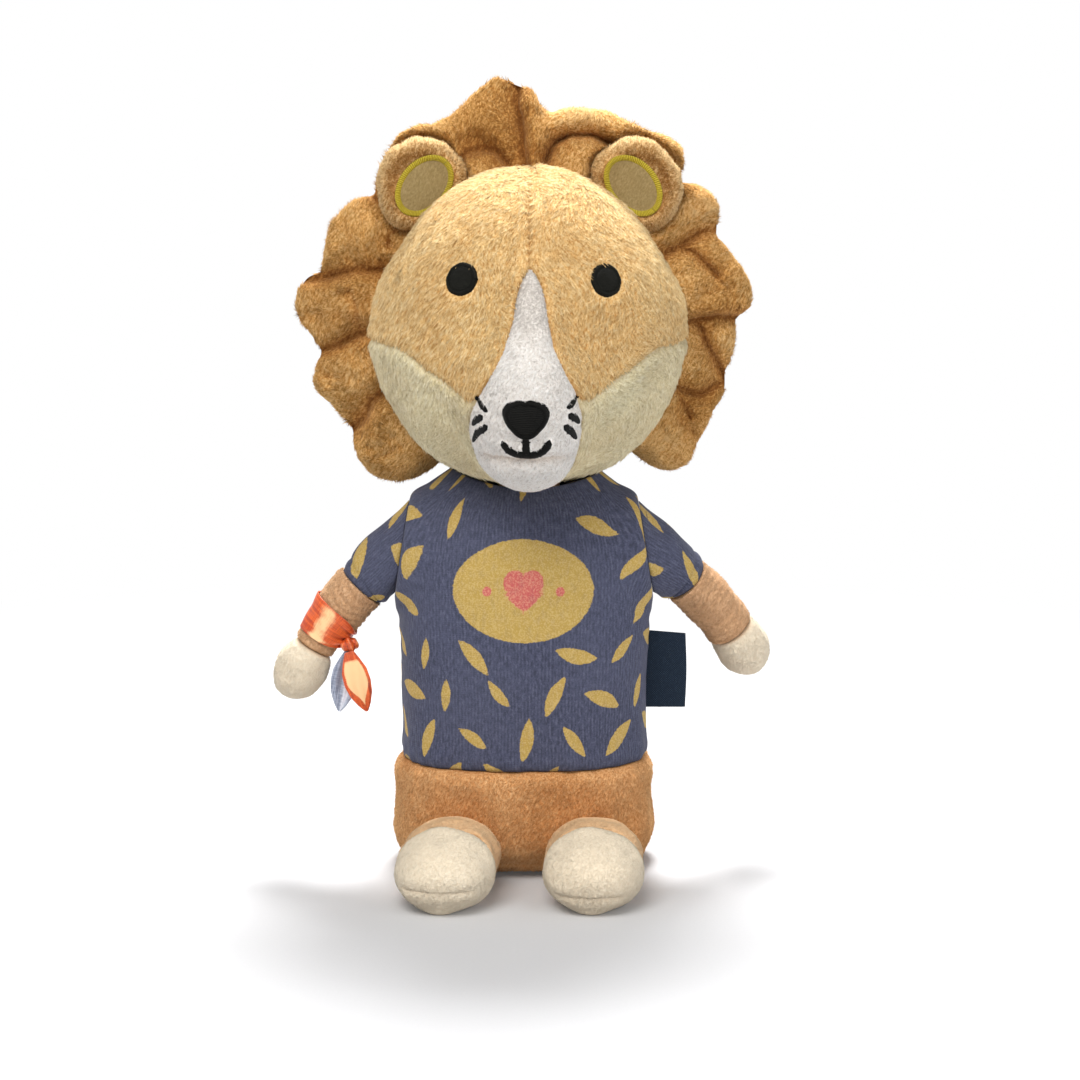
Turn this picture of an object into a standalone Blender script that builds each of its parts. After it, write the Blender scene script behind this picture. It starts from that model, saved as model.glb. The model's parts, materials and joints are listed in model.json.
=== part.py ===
"""Plush lion that sits upright on a flat base, as the stuffed and sewn pieces it is made of.

Metres, +Z up, the face towards -Y, the origin in the middle of the flat base.
The toy's own left side is at +X.
"""

import math

import bmesh
import bpy
from mathutils import Matrix, Vector

# Clearance between pieces that are sewn against each other
SEAM_GAP = 0.0003
# How far a cutter runs past the piece that it cuts
OVERRUN = 0.03

# Body: the shirt above the hem and the trousers below it
BODY_DEPTH = 0.0664
SEAT_HEIGHT = 0.040
SHIRT_WIDTH = 0.0920
# How much wider the stuffed trousers are than the shirt that they are sewn to
SEAT_FULLNESS = 0.0012
SHIRT_LENGTH = 0.0988
# Height share, width share and depth share of each level, from the hem up
SHIRT_SHARES = (
    (0.000, 0.960, 0.978),
    (0.120, 0.955, 0.994),
    (0.300, 0.960, 1.000),
    (0.450, 0.976, 0.994),
    (0.560, 0.992, 0.980),
    (0.650, 1.000, 0.955),
    (0.740, 0.990, 0.905),
    (0.810, 0.960, 0.840),
    (0.865, 0.910, 0.760),
    (0.910, 0.860, 0.665),
    (0.950, 0.795, 0.570),
    (0.985, 0.715, 0.485),
    (1.030, 0.610, 0.390),
    (1.090, 0.470, 0.270),
)
# The same for the trousers, from the flat base up to the hem
SEAT_SHARES = (
    (0.000, 0.800, 0.450),
    (0.020, 0.860, 0.620),
    (0.050, 0.905, 0.760),
    (0.095, 0.940, 0.870),
    (0.160, 0.966, 0.940),
    (0.240, 0.986, 0.985),
    (0.340, 1.000, 1.008),
    (0.520, 1.000, 1.014),
    (0.820, 0.990, 1.007),
    (1.000, 0.955, 0.978),
)
# Squareness of the body's outline seen from above: 2 is an ellipse
BODY_SQUARENESS_SHARE = 2.5

# Head, its muzzle and what is sewn to it
HEAD_WIDTH = 0.114
HEAD_DEPTH = 0.104
HEAD_HEIGHT = 0.113
HEAD_SIDESTEP = 0.0018
HEAD_SETBACK = -0.002
MUZZLE_REACH = 0.0255
MUZZLE_DROP = 0.0222
MUZZLE_RISE = 0.0290
MUZZLE_FALL = 0.0300
MUZZLE_WIDTH = 0.0410
# Bump width at a height, as shares of the muzzle's drop and of its width
MUZZLE_WIDTH_SHARES = (
    (-2.80, 0.78),
    (-1.84, 0.94),
    (-1.02, 1.00),
    (-0.41, 0.88),
    (0.20, 0.60),
    (0.82, 0.44),
)
# Depth of the seam allowance that the muzzle's panel sits in
PANEL_DEPTH = 0.0014
# White panel from its tip down: height and half width over the face, as shares of its sizes
PANEL_HEIGHT = 0.0870
PANEL_WIDTH = 0.0376
PANEL_TOP = 0.0268
PANEL_SHARES = (
    (0.000, 0.000),
    (0.040, 0.150),
    (0.120, 0.330),
    (0.235, 0.400),
    (0.315, 0.470),
    (0.380, 0.640),
    (0.465, 0.850),
    (0.540, 0.960),
    (0.620, 1.000),
    (0.740, 0.960),
    (0.860, 0.800),
    (0.945, 0.540),
    (0.985, 0.280),
    (1.000, 0.000),
)
EYE_SPACING = 0.0555
EYE_SIDESTEP = 0.0014
EYE_RISE = 0.0236
EYE_WIDTH = 0.0128
EYE_HEIGHT = 0.0118
EYE_RELIEF = 0.0010
NOSE_WIDTH = 0.0128
NOSE_HEIGHT = 0.0078
NOSE_SIDESTEP = -0.0008
NOSE_RISE = -0.0172
NOSE_RELIEF = 0.0014
NOSE_RIM_SHARE = 0.6
NOSE_CROWN_SHARE = 0.7
# Rounded triangle of the nose: side share and height share, from the middle of its top
NOSE_SHARES = (
    (0.00, 0.50),
    (0.55, 0.52),
    (0.90, 0.40),
    (1.00, 0.14),
    (0.72, -0.22),
    (0.36, -0.44),
    (0.00, -0.54),
)
EAR_DIAMETER = 0.0308
EAR_THICKNESS = 0.0110
EAR_REACH = 0.0628
EAR_ANGLE = math.radians(37.8)
EAR_SETBACK = 0.0105
LINING_WIDTH = 0.0236
LINING_HEIGHT = 0.0180
LINING_RELIEF = 0.0008

# Gathered mane that stands up round the face, open under the chin
MANE_REACH = 0.0845
MANE_ROOT = 0.0500
MANE_SETBACK = 0.0170
MANE_LEAN = 0.0045
MANE_THICKNESS = 0.0125
# Lobes clockwise from the toy's right cheek: degrees from the top, share of the reach, share of
# the thickness
MANE_SHARES = (
    (-148.0, 0.740, 0.45),
    (-142.0, 0.915, 0.80),
    (-135.0, 0.965, 1.00),
    (-124.0, 0.900, 0.62),
    (-115.0, 0.935, 0.95),
    (-107.5, 0.955, 1.00),
    (-101.0, 0.900, 0.60),
    (-92.0, 0.980, 0.95),
    (-86.5, 0.990, 1.00),
    (-80.0, 0.895, 0.60),
    (-72.0, 0.915, 0.90),
    (-65.0, 0.930, 1.00),
    (-51.0, 0.864, 0.60),
    (-36.0, 0.950, 1.00),
    (-23.0, 0.910, 0.70),
    (-14.0, 0.982, 0.90),
    (-8.5, 1.024, 1.00),
    (-2.0, 0.985, 0.90),
    (4.0, 0.892, 0.55),
    (16.0, 0.928, 0.95),
    (29.0, 0.937, 0.80),
    (39.0, 0.963, 1.00),
    (48.5, 0.874, 0.60),
    (57.0, 0.938, 1.00),
    (69.5, 0.868, 0.60),
    (79.0, 0.922, 0.90),
    (85.5, 0.952, 1.00),
    (95.5, 0.885, 0.60),
    (108.0, 0.890, 0.95),
    (119.0, 0.876, 0.65),
    (130.0, 0.916, 1.00),
    (138.0, 0.895, 0.85),
    (144.0, 0.740, 0.45),
)

# Stuffed neck that stands in the torso and carries the head
NECK_DIAMETER = 0.022
NECK_DEPTH = 0.013
# Room round the head where it turns in the collar
COLLAR_ROOM = 0.0010

# Shoulders and arms, in the frame of the armhole: out of it, and down along it
SHOULDER_SPACING = 0.0876
SHOULDER_RISE = 0.0758
ARMHOLE_TILT = math.radians(9)
ARMHOLE_HEIGHT = 0.0340
ARMHOLE_DEPTH = 0.0310
SLEEVE_OUT = 0.0127
SLEEVE_DOWN = 0.0166
SLEEVE_HEM_TURN = math.radians(56)
SLEEVE_HEM_DIAMETER = 0.0178
# How late the sleeve turns down on its way: 1 is evenly
SLEEVE_TURN_SHARE = 1.6
FOREARM_LENGTH = 0.0283
FOREARM_DIAMETER = 0.0186
# Where along the forearm it starts to draw in to the wrist, and over how much of it
WRIST_DRAW_SHARES = (0.25, 0.60)
HAND_LENGTH = 0.0205
HAND_DIAMETER = 0.0194
# How much of the hand's length it takes to swell from the wrist
HAND_SWELL_SHARE = 0.45
HAND_TURN = math.radians(75)
WRIST_DIAMETER = 0.0174
TIED_WRIST_DIAMETER = 0.0146
# Swing of each arm at rest, backwards
LEFT_ARM_SWING = math.radians(24)
RIGHT_ARM_SWING = math.radians(0)

# Ribbon tied round the right wrist
RIBBON_WIDTH = 0.0130
RIBBON_THICKNESS = 0.0008
RIBBON_START = 0.0114
# How far the cutter of the ribbon's inner face runs past its edges
RIBBON_OVERRUN = 0.0015
KNOT_WIDTH = 0.0062
KNOT_HEIGHT = 0.0052
KNOT_DEPTH = 0.0050
KNOT_PLACE_SHARE = 0.62
KNOT_SEAT_SHARE = 0.35
KNOT_TURN = math.radians(22)
TAIL_LENGTH = 0.0228
TAIL_WIDTH = 0.0098
TAIL_BOW = 0.0022
TAIL_SQUARENESS_SHARE = 3.0
TAIL_FRONT_SHARE = 0.2
TAIL_SPACING = 0.0018
ORANGE_TAIL_TURN = math.radians(16)
BLUE_TAIL_TURN = math.radians(-10)
# Leaf outline of a tail: share of its length, share of its half width
TAIL_SHARES = (
    (0.00, 0.34),
    (0.12, 0.62),
    (0.30, 0.95),
    (0.50, 1.00),
    (0.70, 0.82),
    (0.88, 0.46),
    (1.00, 0.10),
)

# Legs and feet, forward from the hip
LEG_SPACING = 0.0500
LEG_WIDTH = 0.0338
LEG_HEIGHT = 0.0262
LEG_FLAT = 0.0005
HIP_REACH = 0.0068
HIP_ROOM = 0.0004
LEG_LENGTH = 0.0185
FOOT_LENGTH = 0.0225
FOOT_LEAN = 0.0050
FOOT_WIDTH_SHARE = 1.02
# Roundness of the toe seen from the side, how far it drops, how late, and the height of its tip
TOE_SHARES = (2.4, 0.22, 1.5, 0.10)
LEFT_LEG_TURN = math.radians(-2)
RIGHT_LEG_TURN = math.radians(-6)

# Folded label in the left side seam
LABEL_WIDTH = 0.0130
LABEL_HEIGHT = 0.0282
LABEL_THICKNESS = 0.0012
LABEL_RISE = 0.0166
# Widest share of the shirt along the label
LABEL_SEAM_SHARE = 0.976

# Mesh fineness
BODY_POINTS = 32
LIMB_POINTS = 16
RIBBON_POINTS = 8
KNOT_POINTS = 12
MANE_POINTS = 10
MANE_STEP = 4.6
HEAD_POINTS = 32
COLLAR_POINTS = 40
HIP_POINTS = 24
EYE_POINTS = 20
SLEEVE_STEPS = 5
FOREARM_STEPS = 6
RIBBON_STEPS = 5
HAND_STEPS = 8
LEG_STEPS = 4
ROOT_STEPS = 5
FOOT_STEPS = 7
LABEL_STEPS = 6
COURSE_STEPS = 24
EAR_POINTS = 24
# Angles of the head's rings from the line through the muzzle, in degrees
HEAD_RINGS = (5, 10, 15, 20, 25, 30, 35, 41, 48, 56, 65, 75, 86, 98, 111, 125, 140, 155, 169)

# Worked out from the sizes above
HEAD_RADII = Vector((HEAD_WIDTH / 2, HEAD_DEPTH / 2, HEAD_HEIGHT / 2))
HEAD_CENTRE = Vector((HEAD_SIDESTEP, HEAD_SETBACK, SEAT_HEIGHT + SHIRT_LENGTH + HEAD_HEIGHT / 2))
FACE_RADIUS = (HEAD_RADII.x + HEAD_RADII.z) / 2
NECK_TOP = HEAD_CENTRE.z - HEAD_RADII.z
HIP_POINT_Y = -BODY_DEPTH / 2 - HIP_REACH
HIP_HEIGHT = LEG_HEIGHT / 2 - LEG_FLAT


def fresh_collection(name):
    """A new collection of this name in the scene."""
    collection = bpy.data.collections.new(name)
    bpy.context.scene.collection.children.link(collection)
    return collection


def clear_scene():
    for old in list(bpy.data.objects):
        bpy.data.objects.remove(old)


clear_scene()
PIECES = fresh_collection("plush_lion")
CUTTERS = fresh_collection("plush_lion_cutters")


def finish(name, colour, roughness, metallic=0.0):
    """A plain material of one colour, given as linear red, green and blue."""
    material = bpy.data.materials.new(name)
    material.use_nodes = True
    shader = material.node_tree.nodes["Principled BSDF"]
    shader.inputs["Base Color"].default_value = (*colour, 1.0)
    shader.inputs["Roughness"].default_value = roughness
    shader.inputs["Metallic"].default_value = metallic
    material.diffuse_color = (*colour, 1.0)
    return material


TAN_PLUSH = finish("tan_plush", (0.74, 0.47, 0.20), 0.95)
MANE_PLUSH = finish("mane_plush", (0.42, 0.21, 0.07), 0.95)
WHITE_PLUSH = finish("white_plush", (0.82, 0.78, 0.71), 0.95)
CREAM_VELOUR = finish("cream_velour", (0.84, 0.72, 0.52), 0.92)
TAN_VELOUR = finish("tan_velour", (0.52, 0.25, 0.11), 0.92)
SHIRT_JERSEY = finish("shirt_jersey", (0.097, 0.102, 0.150), 0.9)
BLACK_THREAD = finish("black_thread", (0.018, 0.017, 0.014), 0.6)
EAR_VELOUR = finish("ear_velour", (0.38, 0.27, 0.13), 0.92)
ORANGE_SATIN = finish("orange_satin", (0.62, 0.10, 0.02), 0.35)
BLUE_SATIN = finish("blue_satin", (0.42, 0.48, 0.62), 0.35)
NAVY_WEAVE = finish("navy_weave", (0.008, 0.020, 0.040), 0.8)


def add_piece(name, mesh, material):
    """Put a mesh into the scene as a piece, shaded smooth but for its edges."""
    mesh.shade_smooth()
    mesh.set_sharp_from_angle(angle=math.radians(40))
    mesh.materials.append(material)
    piece = bpy.data.objects.new(name, mesh)
    PIECES.objects.link(piece)
    return piece


def add_cutter(name, mesh):
    """Put a mesh into the scene as a cutter, which is not rendered."""
    cutter = bpy.data.objects.new(name, mesh)
    cutter.hide_render = True
    cutter.display_type = "WIRE"
    CUTTERS.objects.link(cutter)
    return cutter


def cut(piece, cutter, operation="DIFFERENCE"):
    """Cut a piece with a cutter, exactly."""
    modifier = piece.modifiers.new(f"{operation.lower()}_{cutter.name}", "BOOLEAN")
    modifier.operation = operation
    modifier.solver = "EXACT"
    modifier.object = cutter


def pivot(name, place, turn=None, parent=None):
    """An empty on a joint's axis, which carries the pieces that move about it."""
    empty = bpy.data.objects.new(name, None)
    rotation = (turn or Matrix.Identity(3)).to_4x4()
    empty.matrix_world = Matrix.Translation(place) @ rotation
    PIECES.objects.link(empty)
    if parent is not None:
        bpy.context.view_layer.update()
        empty.parent = parent
        empty.matrix_parent_inverse = parent.matrix_world.inverted()
    return empty


def carry(empty, *objects):
    """Let an empty carry objects whose meshes are drawn in its own frame."""
    for item in objects:
        item.parent = empty


def between(table, place):
    """Value at a place in a table of (place, value) rows, straight between the rows."""
    for (low, low_value), (high, high_value) in zip(table, table[1:]):
        if place <= high:
            share = max(0.0, (place - low) / (high - low))
            return low_value + share * (high_value - low_value)
    return table[-1][1]


def oval(centre, across, up, half_width, half_height, points, squareness=2.0):
    """Ring of points on a superellipse that spans two directions about a centre."""
    ring = []
    for step in range(points):
        angle = 2 * math.pi * step / points
        cosine = math.cos(angle)
        sine = math.sin(angle)
        side = math.copysign(abs(cosine) ** (2 / squareness), cosine)
        rise = math.copysign(abs(sine) ** (2 / squareness), sine)
        ring.append(centre + across * (half_width * side) + up * (half_height * rise))
    return ring


def loft(name, rings):
    """Closed mesh through rings of equal count. A ring of one point closes an end to a tip."""
    body = bmesh.new()
    levels = [[body.verts.new(point) for point in ring] for ring in rings]
    for lower, upper in zip(levels, levels[1:]):
        count = max(len(lower), len(upper))
        for step in range(count):
            after = (step + 1) % count
            corners = [lower[step % len(lower)], lower[after % len(lower)]]
            corners += [upper[after % len(upper)], upper[step % len(upper)]]
            body.faces.new(list(dict.fromkeys(corners)))
    for end in (levels[0], levels[-1]):
        if len(end) > 1:
            body.faces.new(end)
    bmesh.ops.recalc_face_normals(body, faces=body.faces)
    mesh = bpy.data.meshes.new(name)
    body.to_mesh(mesh)
    body.free()
    return mesh


def ball(name, centre, radii, turn=None, points=EAR_POINTS):
    """Ellipsoid from a sphere, with its radii along its own axes."""
    body = bmesh.new()
    bmesh.ops.create_uvsphere(body, u_segments=points, v_segments=points // 2, radius=1.0)
    rotation = (turn or Matrix.Identity(3)).to_4x4()
    shape = Matrix.Translation(centre) @ rotation @ Matrix.Diagonal((*radii, 1.0))
    bmesh.ops.transform(body, matrix=shape, verts=body.verts)
    mesh = bpy.data.meshes.new(name)
    body.to_mesh(mesh)
    body.free()
    return mesh


def box(name, low, high):
    """Box between two corners."""
    body = bmesh.new()
    bmesh.ops.create_cube(body, size=1.0)
    middle = (low + high) / 2
    shape = Matrix.Translation(middle) @ Matrix.Diagonal((*(high - low), 1.0))
    bmesh.ops.transform(body, matrix=shape, verts=body.verts)
    mesh = bpy.data.meshes.new(name)
    body.to_mesh(mesh)
    body.free()
    return mesh


def drum(name, centre, radius, height):
    """Upright cylinder about a centre."""
    body = bmesh.new()
    bmesh.ops.create_cone(
        body,
        cap_ends=True,
        segments=BODY_POINTS,
        radius1=radius,
        radius2=radius,
        depth=height,
        matrix=Matrix.Translation(centre),
    )
    mesh = bpy.data.meshes.new(name)
    body.to_mesh(mesh)
    body.free()
    return mesh


# Head and face, drawn about the middle of the head

def face_direction(side, rise):
    """Direction from the middle of the head for a place on the face.

    The place is a length sideways and a length up, along the surface from the face's middle.
    """
    length = math.hypot(side, rise)
    if length == 0:
        return Vector((0, -1, 0))
    angle = length / FACE_RADIUS
    spread = math.sin(angle) / length
    return Vector((side * spread, -math.cos(angle), rise * spread))


def face_place(direction):
    """The place on the face, sideways and up, that a direction goes through."""
    angle = math.acos(max(-1.0, min(1.0, -direction.y)))
    length = math.hypot(direction.x, direction.z)
    if length == 0:
        return 0.0, 0.0
    spread = angle * FACE_RADIUS / length
    return direction.x * spread, direction.z * spread


def head_reach(direction, grow=0.0, shrink_to_core=False):
    """Distance from the middle of the head to its surface in one direction.

    An ellipsoid carries the muzzle: a bump that fades out as a bell curve sideways and upwards,
    and a little more squarely downwards to the chin.
    """
    radii = HEAD_RADII
    inverse = (direction.x / radii.x) ** 2 + (direction.y / radii.y) ** 2
    reach = 1 / math.sqrt(inverse + (direction.z / radii.z) ** 2)
    if shrink_to_core:
        return reach + grow - PANEL_DEPTH
    side, rise = face_place(direction)
    table = [(place * MUZZLE_DROP, share * MUZZLE_WIDTH / 2) for place, share in MUZZLE_WIDTH_SHARES]
    width = between(table, rise)
    above = rise + MUZZLE_DROP
    fade = (above / MUZZLE_RISE) ** 2 if above > 0 else abs(above / MUZZLE_FALL) ** 3
    return reach + grow + MUZZLE_REACH * math.exp(-fade - (side / width) ** 2)


def head_mesh(name, grow=0.0, core=False):
    """Head as rings about the line through the muzzle, closest together on the muzzle."""
    forward = face_direction(0.0, -MUZZLE_DROP)
    across = Vector((1, 0, 0))
    upward = across.cross(forward)
    rings = [[forward * head_reach(forward, grow, core)]]
    for degrees in HEAD_RINGS:
        angle = math.radians(degrees)
        ring = []
        for step in range(HEAD_POINTS):
            around = 2 * math.pi * step / HEAD_POINTS
            spoke = across * math.cos(around) + upward * math.sin(around)
            direction = forward * math.cos(angle) + spoke * math.sin(angle)
            ring.append(direction * head_reach(direction, grow, core))
        rings.append(ring)
    rings.append([-forward * head_reach(-forward, grow, core)])
    return loft(name, rings)


def panel_cone(name, grow=0.0):
    """Cone from inside the head out through the outline of the white panel."""
    outline = []
    for height, width in PANEL_SHARES:
        outline.append((width * PANEL_WIDTH / 2, PANEL_TOP - height * PANEL_HEIGHT))
    outline += [(-side, rise) for side, rise in outline[-2:0:-1]]
    middle = PANEL_TOP - PANEL_HEIGHT / 2
    grown = []
    for side, rise in outline:
        away = Vector((side, rise - middle))
        away *= 1 + grow / away.length
        grown.append(face_direction(away.x, away.y + middle))
    inside = FACE_RADIUS / 2
    outside = FACE_RADIUS + MUZZLE_REACH + OVERRUN
    axis = face_direction(0.0, middle)
    near = [direction * inside for direction in grown]
    far = [direction * outside for direction in grown]
    return loft(name, [[axis * inside], near, far, [axis * outside]])


def facing(direction, upward):
    """Turn that points Y along a direction, with Z as near upward as it can be."""
    along = direction.normalized()
    side = along.cross(upward).normalized()
    rise = side.cross(along)
    return Matrix((side, along, rise)).transposed()


def make_eye(name, side, head_cutter):
    direction = face_direction(side * EYE_SPACING / 2 + EYE_SIDESTEP, EYE_RISE)
    place = direction * head_reach(direction)
    turn = facing(direction, Vector((0, 0, 1)))
    radii = (EYE_WIDTH / 2, EYE_RELIEF, EYE_HEIGHT / 2)
    eye = add_piece(name, ball(name, place, radii, turn, EYE_POINTS), BLACK_THREAD)
    cut(eye, head_cutter)
    return eye


def make_nose(head_cutter):
    """Padded triangle of thread on the tip of the muzzle."""
    outline = [(share * NOSE_WIDTH / 2, rise * NOSE_HEIGHT) for share, rise in NOSE_SHARES]
    outline += [(-side, rise) for side, rise in outline[-2:0:-1]]
    low = []
    rim = []
    crown = []
    for side, rise in outline:
        direction = face_direction(NOSE_SIDESTEP + side, NOSE_RISE + rise)
        surface = head_reach(direction)
        low.append(direction * (surface - NOSE_RELIEF))
        rim.append(direction * (surface + NOSE_RELIEF * NOSE_RIM_SHARE))
        inner_side = NOSE_SIDESTEP + side * NOSE_CROWN_SHARE
        inner = face_direction(inner_side, NOSE_RISE + rise * NOSE_CROWN_SHARE)
        crown.append(inner * (head_reach(inner) + NOSE_RELIEF))
    tip = face_direction(NOSE_SIDESTEP, NOSE_RISE)
    rings = [low, rim, crown, [tip * (head_reach(tip) + NOSE_RELIEF)]]
    nose = add_piece("nose", loft("nose", rings), BLACK_THREAD)
    cut(nose, head_cutter)
    return nose


def ear_frame(side):
    """Middle of an ear and its turn: X along the ear's width, Z away from the head."""
    away = Vector((side * math.sin(EAR_ANGLE), 0, math.cos(EAR_ANGLE)))
    place = away * EAR_REACH + Vector((0, EAR_SETBACK, 0))
    along = Vector((0, 1, 0)).cross(away)
    return place, Matrix((along, Vector((0, 1, 0)), away)).transposed()


def ear_mesh(name, side, grow=0.0):
    place, turn = ear_frame(side)
    radius = EAR_DIAMETER / 2 + grow
    return ball(name, place, (radius, EAR_THICKNESS / 2 + grow, radius), turn)


def make_ear(label, side, head_cutter, mane_cutter):
    ear = add_piece(f"ear_{label}", ear_mesh(f"ear_{label}", side), TAN_PLUSH)
    cut(ear, head_cutter)
    cut(ear, mane_cutter)
    ear_cutter = add_cutter(f"ear_{label}_room", ear_mesh(f"ear_{label}_room", side, SEAM_GAP))
    name = f"ear_lining_{label}"
    lining = add_piece(name, ear_mesh(name, side, LINING_RELIEF), EAR_VELOUR)
    outline = add_cutter(f"{name}_outline", lining_outline(f"{name}_outline", side))
    cut(lining, outline, "INTERSECT")
    cut(lining, ear_cutter)
    cut(lining, head_cutter)
    carry(HEAD_PIVOT, ear, ear_cutter, lining, outline)


def lining_outline(name, side):
    """Oval bar through the front half of an ear, which gives its lining its outline."""
    place, turn = ear_frame(side)
    along, front, away = turn.col
    rings = []
    for depth in (0.0, -EAR_THICKNESS):
        centre = place + front * depth
        rings.append(oval(centre, along, away, LINING_WIDTH / 2, LINING_HEIGHT / 2, BODY_POINTS))
    return loft(name, rings)


def mane_mesh(name, grow=0.0):
    """Ruffle as ovals across it, each on its own spoke from the middle of the head.

    Reach and thickness run from lobe to crease and back as a cosine.
    """
    first = MANE_SHARES[0][0]
    last = MANE_SHARES[-1][0]
    count = round((last - first) / MANE_STEP)
    rings = []
    for step in range(count + 1):
        degrees = first + (last - first) * step / count
        reach, swell = mane_lobe(degrees)
        angle = math.radians(degrees)
        away = Vector((math.sin(angle), 0, math.cos(angle)))
        tip = away * (MANE_REACH * reach + grow)
        tip.y = MANE_SETBACK + MANE_LEAN
        root = away * MANE_ROOT
        root.y = MANE_SETBACK - MANE_LEAN
        along = (tip - root).normalized()
        thick = along.cross(away.cross(Vector((0, 1, 0)))).normalized()
        half = (tip - root).length / 2
        rings.append(
            oval(
                (tip + root) / 2,
                along,
                thick,
                half,
                MANE_THICKNESS / 2 * swell + grow,
                MANE_POINTS,
                BODY_SQUARENESS_SHARE,
            )
        )
    return loft(name, rings)


def mane_lobe(degrees):
    """Reach share and thickness share of the mane at an angle from the top."""
    for low, high in zip(MANE_SHARES, MANE_SHARES[1:]):
        if degrees <= high[0]:
            share = (degrees - low[0]) / (high[0] - low[0])
            blend = (1 - math.cos(math.pi * share)) / 2
            reach = low[1] + blend * (high[1] - low[1])
            return reach, low[2] + blend * (high[2] - low[2])
    return MANE_SHARES[-1][1:]


def make_head():
    """Head, muzzle, face, ears and mane, all carried by the head's pivot."""
    head_room = add_cutter("head_room", head_mesh("head_room", SEAM_GAP))
    core = add_cutter("head_core", head_mesh("head_core", 0.0, True))
    core_room = add_cutter("head_core_room", head_mesh("head_core_room", SEAM_GAP, True))
    panel = add_cutter("muzzle_panel", panel_cone("muzzle_panel"))
    recess = add_cutter("muzzle_recess", panel_cone("muzzle_recess", SEAM_GAP))
    cut(recess, core)
    cut(panel, core_room)
    head = add_piece("head", head_mesh("head"), TAN_PLUSH)
    cut(head, recess)
    muzzle = add_piece("muzzle", head_mesh("muzzle"), WHITE_PLUSH)
    cut(muzzle, panel, "INTERSECT")
    carry(HEAD_PIVOT, head_room, core, core_room, panel, recess, head, muzzle)
    mane = add_piece("mane", mane_mesh("mane"), MANE_PLUSH)
    cut(mane, head_room)
    mane_room = add_cutter("mane_room", mane_mesh("mane_room", SEAM_GAP))
    carry(HEAD_PIVOT, mane, mane_room)
    for label, side in (("right", -1), ("left", 1)):
        carry(HEAD_PIVOT, make_eye(f"eye_{label}", side, head_room))
        make_ear(label, side, head_room, mane_room)
    carry(HEAD_PIVOT, make_nose(head_room))
    return head_room


# Body, drawn about the middle of the base

def body_rings(table, bottom, height, width):
    """Level ovals of the body, from rows of height share, width share and depth share."""
    rings = []
    for rise, width_share, depth_share in table:
        centre = Vector((0, 0, bottom + rise * height))
        half_width = width_share * width / 2
        half_depth = depth_share * BODY_DEPTH / 2
        rings.append(
            oval(
                centre,
                Vector((1, 0, 0)),
                Vector((0, 1, 0)),
                half_width,
                half_depth,
                BODY_POINTS,
                BODY_SQUARENESS_SHARE,
            )
        )
    return rings


def make_torso():
    """Shirt front and back, with its armholes, and a collar that the head sits in."""
    bottom = SEAT_HEIGHT + SEAM_GAP / 2
    rings = body_rings(SHIRT_SHARES, bottom, SHIRT_LENGTH, SHIRT_WIDTH)
    torso = add_piece("torso", loft("torso", rings), SHIRT_JERSEY)
    side_room = HEAD_RADII.x + COLLAR_ROOM
    turning_room = HEAD_RADII.z + COLLAR_ROOM
    radii = (side_room, turning_room, turning_room)
    room = ball("collar_room", HEAD_CENTRE, radii, points=COLLAR_POINTS)
    collar = add_cutter("collar_room", room)
    cut(torso, collar)
    depth = NECK_DEPTH + SEAM_GAP
    middle = Vector((HEAD_CENTRE.x, HEAD_CENTRE.y, NECK_TOP - depth + OVERRUN / 2))
    socket = drum("neck_socket", middle, NECK_DIAMETER / 2 + SEAM_GAP, OVERRUN)
    cut(torso, add_cutter("neck_socket", socket))
    for label, side, empty in (("right", -1, RIGHT_SHOULDER), ("left", 1, LEFT_SHOULDER)):
        inner = -side * SEAM_GAP / 2
        outer = side * OVERRUN
        reach = ARMHOLE_HEIGHT + OVERRUN
        low = Vector((min(inner, outer), -reach, -reach))
        high = Vector((max(inner, outer), reach, reach))
        name = f"armhole_{label}"
        armhole = add_cutter(name, box(name, low, high))
        carry(empty, armhole)
        cut(torso, armhole)


def make_neck(head_room):
    """Stuffed neck, drawn about the middle of the head."""
    height = NECK_DEPTH + OVERRUN
    middle = Vector((0, 0, -HEAD_RADII.z - NECK_DEPTH + height / 2))
    mesh = drum("neck", middle, NECK_DIAMETER / 2, height)
    neck = add_piece("neck", mesh, TAN_VELOUR)
    carry(NECK_PIVOT, neck)
    cut(neck, head_room)
    top = box(
        "neck_top",
        Vector((-NECK_DIAMETER, -NECK_DIAMETER, -HEAD_RADII.z / 2)),
        Vector((NECK_DIAMETER, NECK_DIAMETER, HEAD_RADII.z)),
    )
    above = add_cutter("neck_top", top)
    carry(NECK_PIVOT, above)
    cut(neck, above)


def make_seat():
    """Lower body in tan plush, flat below, with a hollow for the root of each leg."""
    height = SEAT_HEIGHT - SEAM_GAP / 2
    rings = body_rings(SEAT_SHARES, 0.0, height, SHIRT_WIDTH + SEAT_FULLNESS)
    seat = add_piece("seat", loft("seat", rings), TAN_VELOUR)
    for label, empty in (("right", RIGHT_HIP), ("left", LEFT_HIP)):
        name = f"hip_hollow_{label}"
        radii = (LEG_WIDTH / 2 + HIP_ROOM, LEG_HEIGHT / 2 + HIP_ROOM, LEG_HEIGHT / 2 + HIP_ROOM)
        hollow = add_cutter(name, ball(name, Vector(), radii, points=HIP_POINTS))
        carry(empty, hollow)
        cut(seat, hollow)


# Arms, drawn in the frame of the armhole

def arm_point(side, out, down):
    return Vector((side * out, 0, -down))


def arm_ring(side, out, down, turn, half_height, half_depth):
    """Oval across the arm where it heads down by an angle from straight out."""
    up = Vector((side * math.sin(turn), 0, math.cos(turn)))
    centre = arm_point(side, out, down)
    return oval(centre, up, Vector((0, 1, 0)), half_height, half_depth, LIMB_POINTS)


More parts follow.
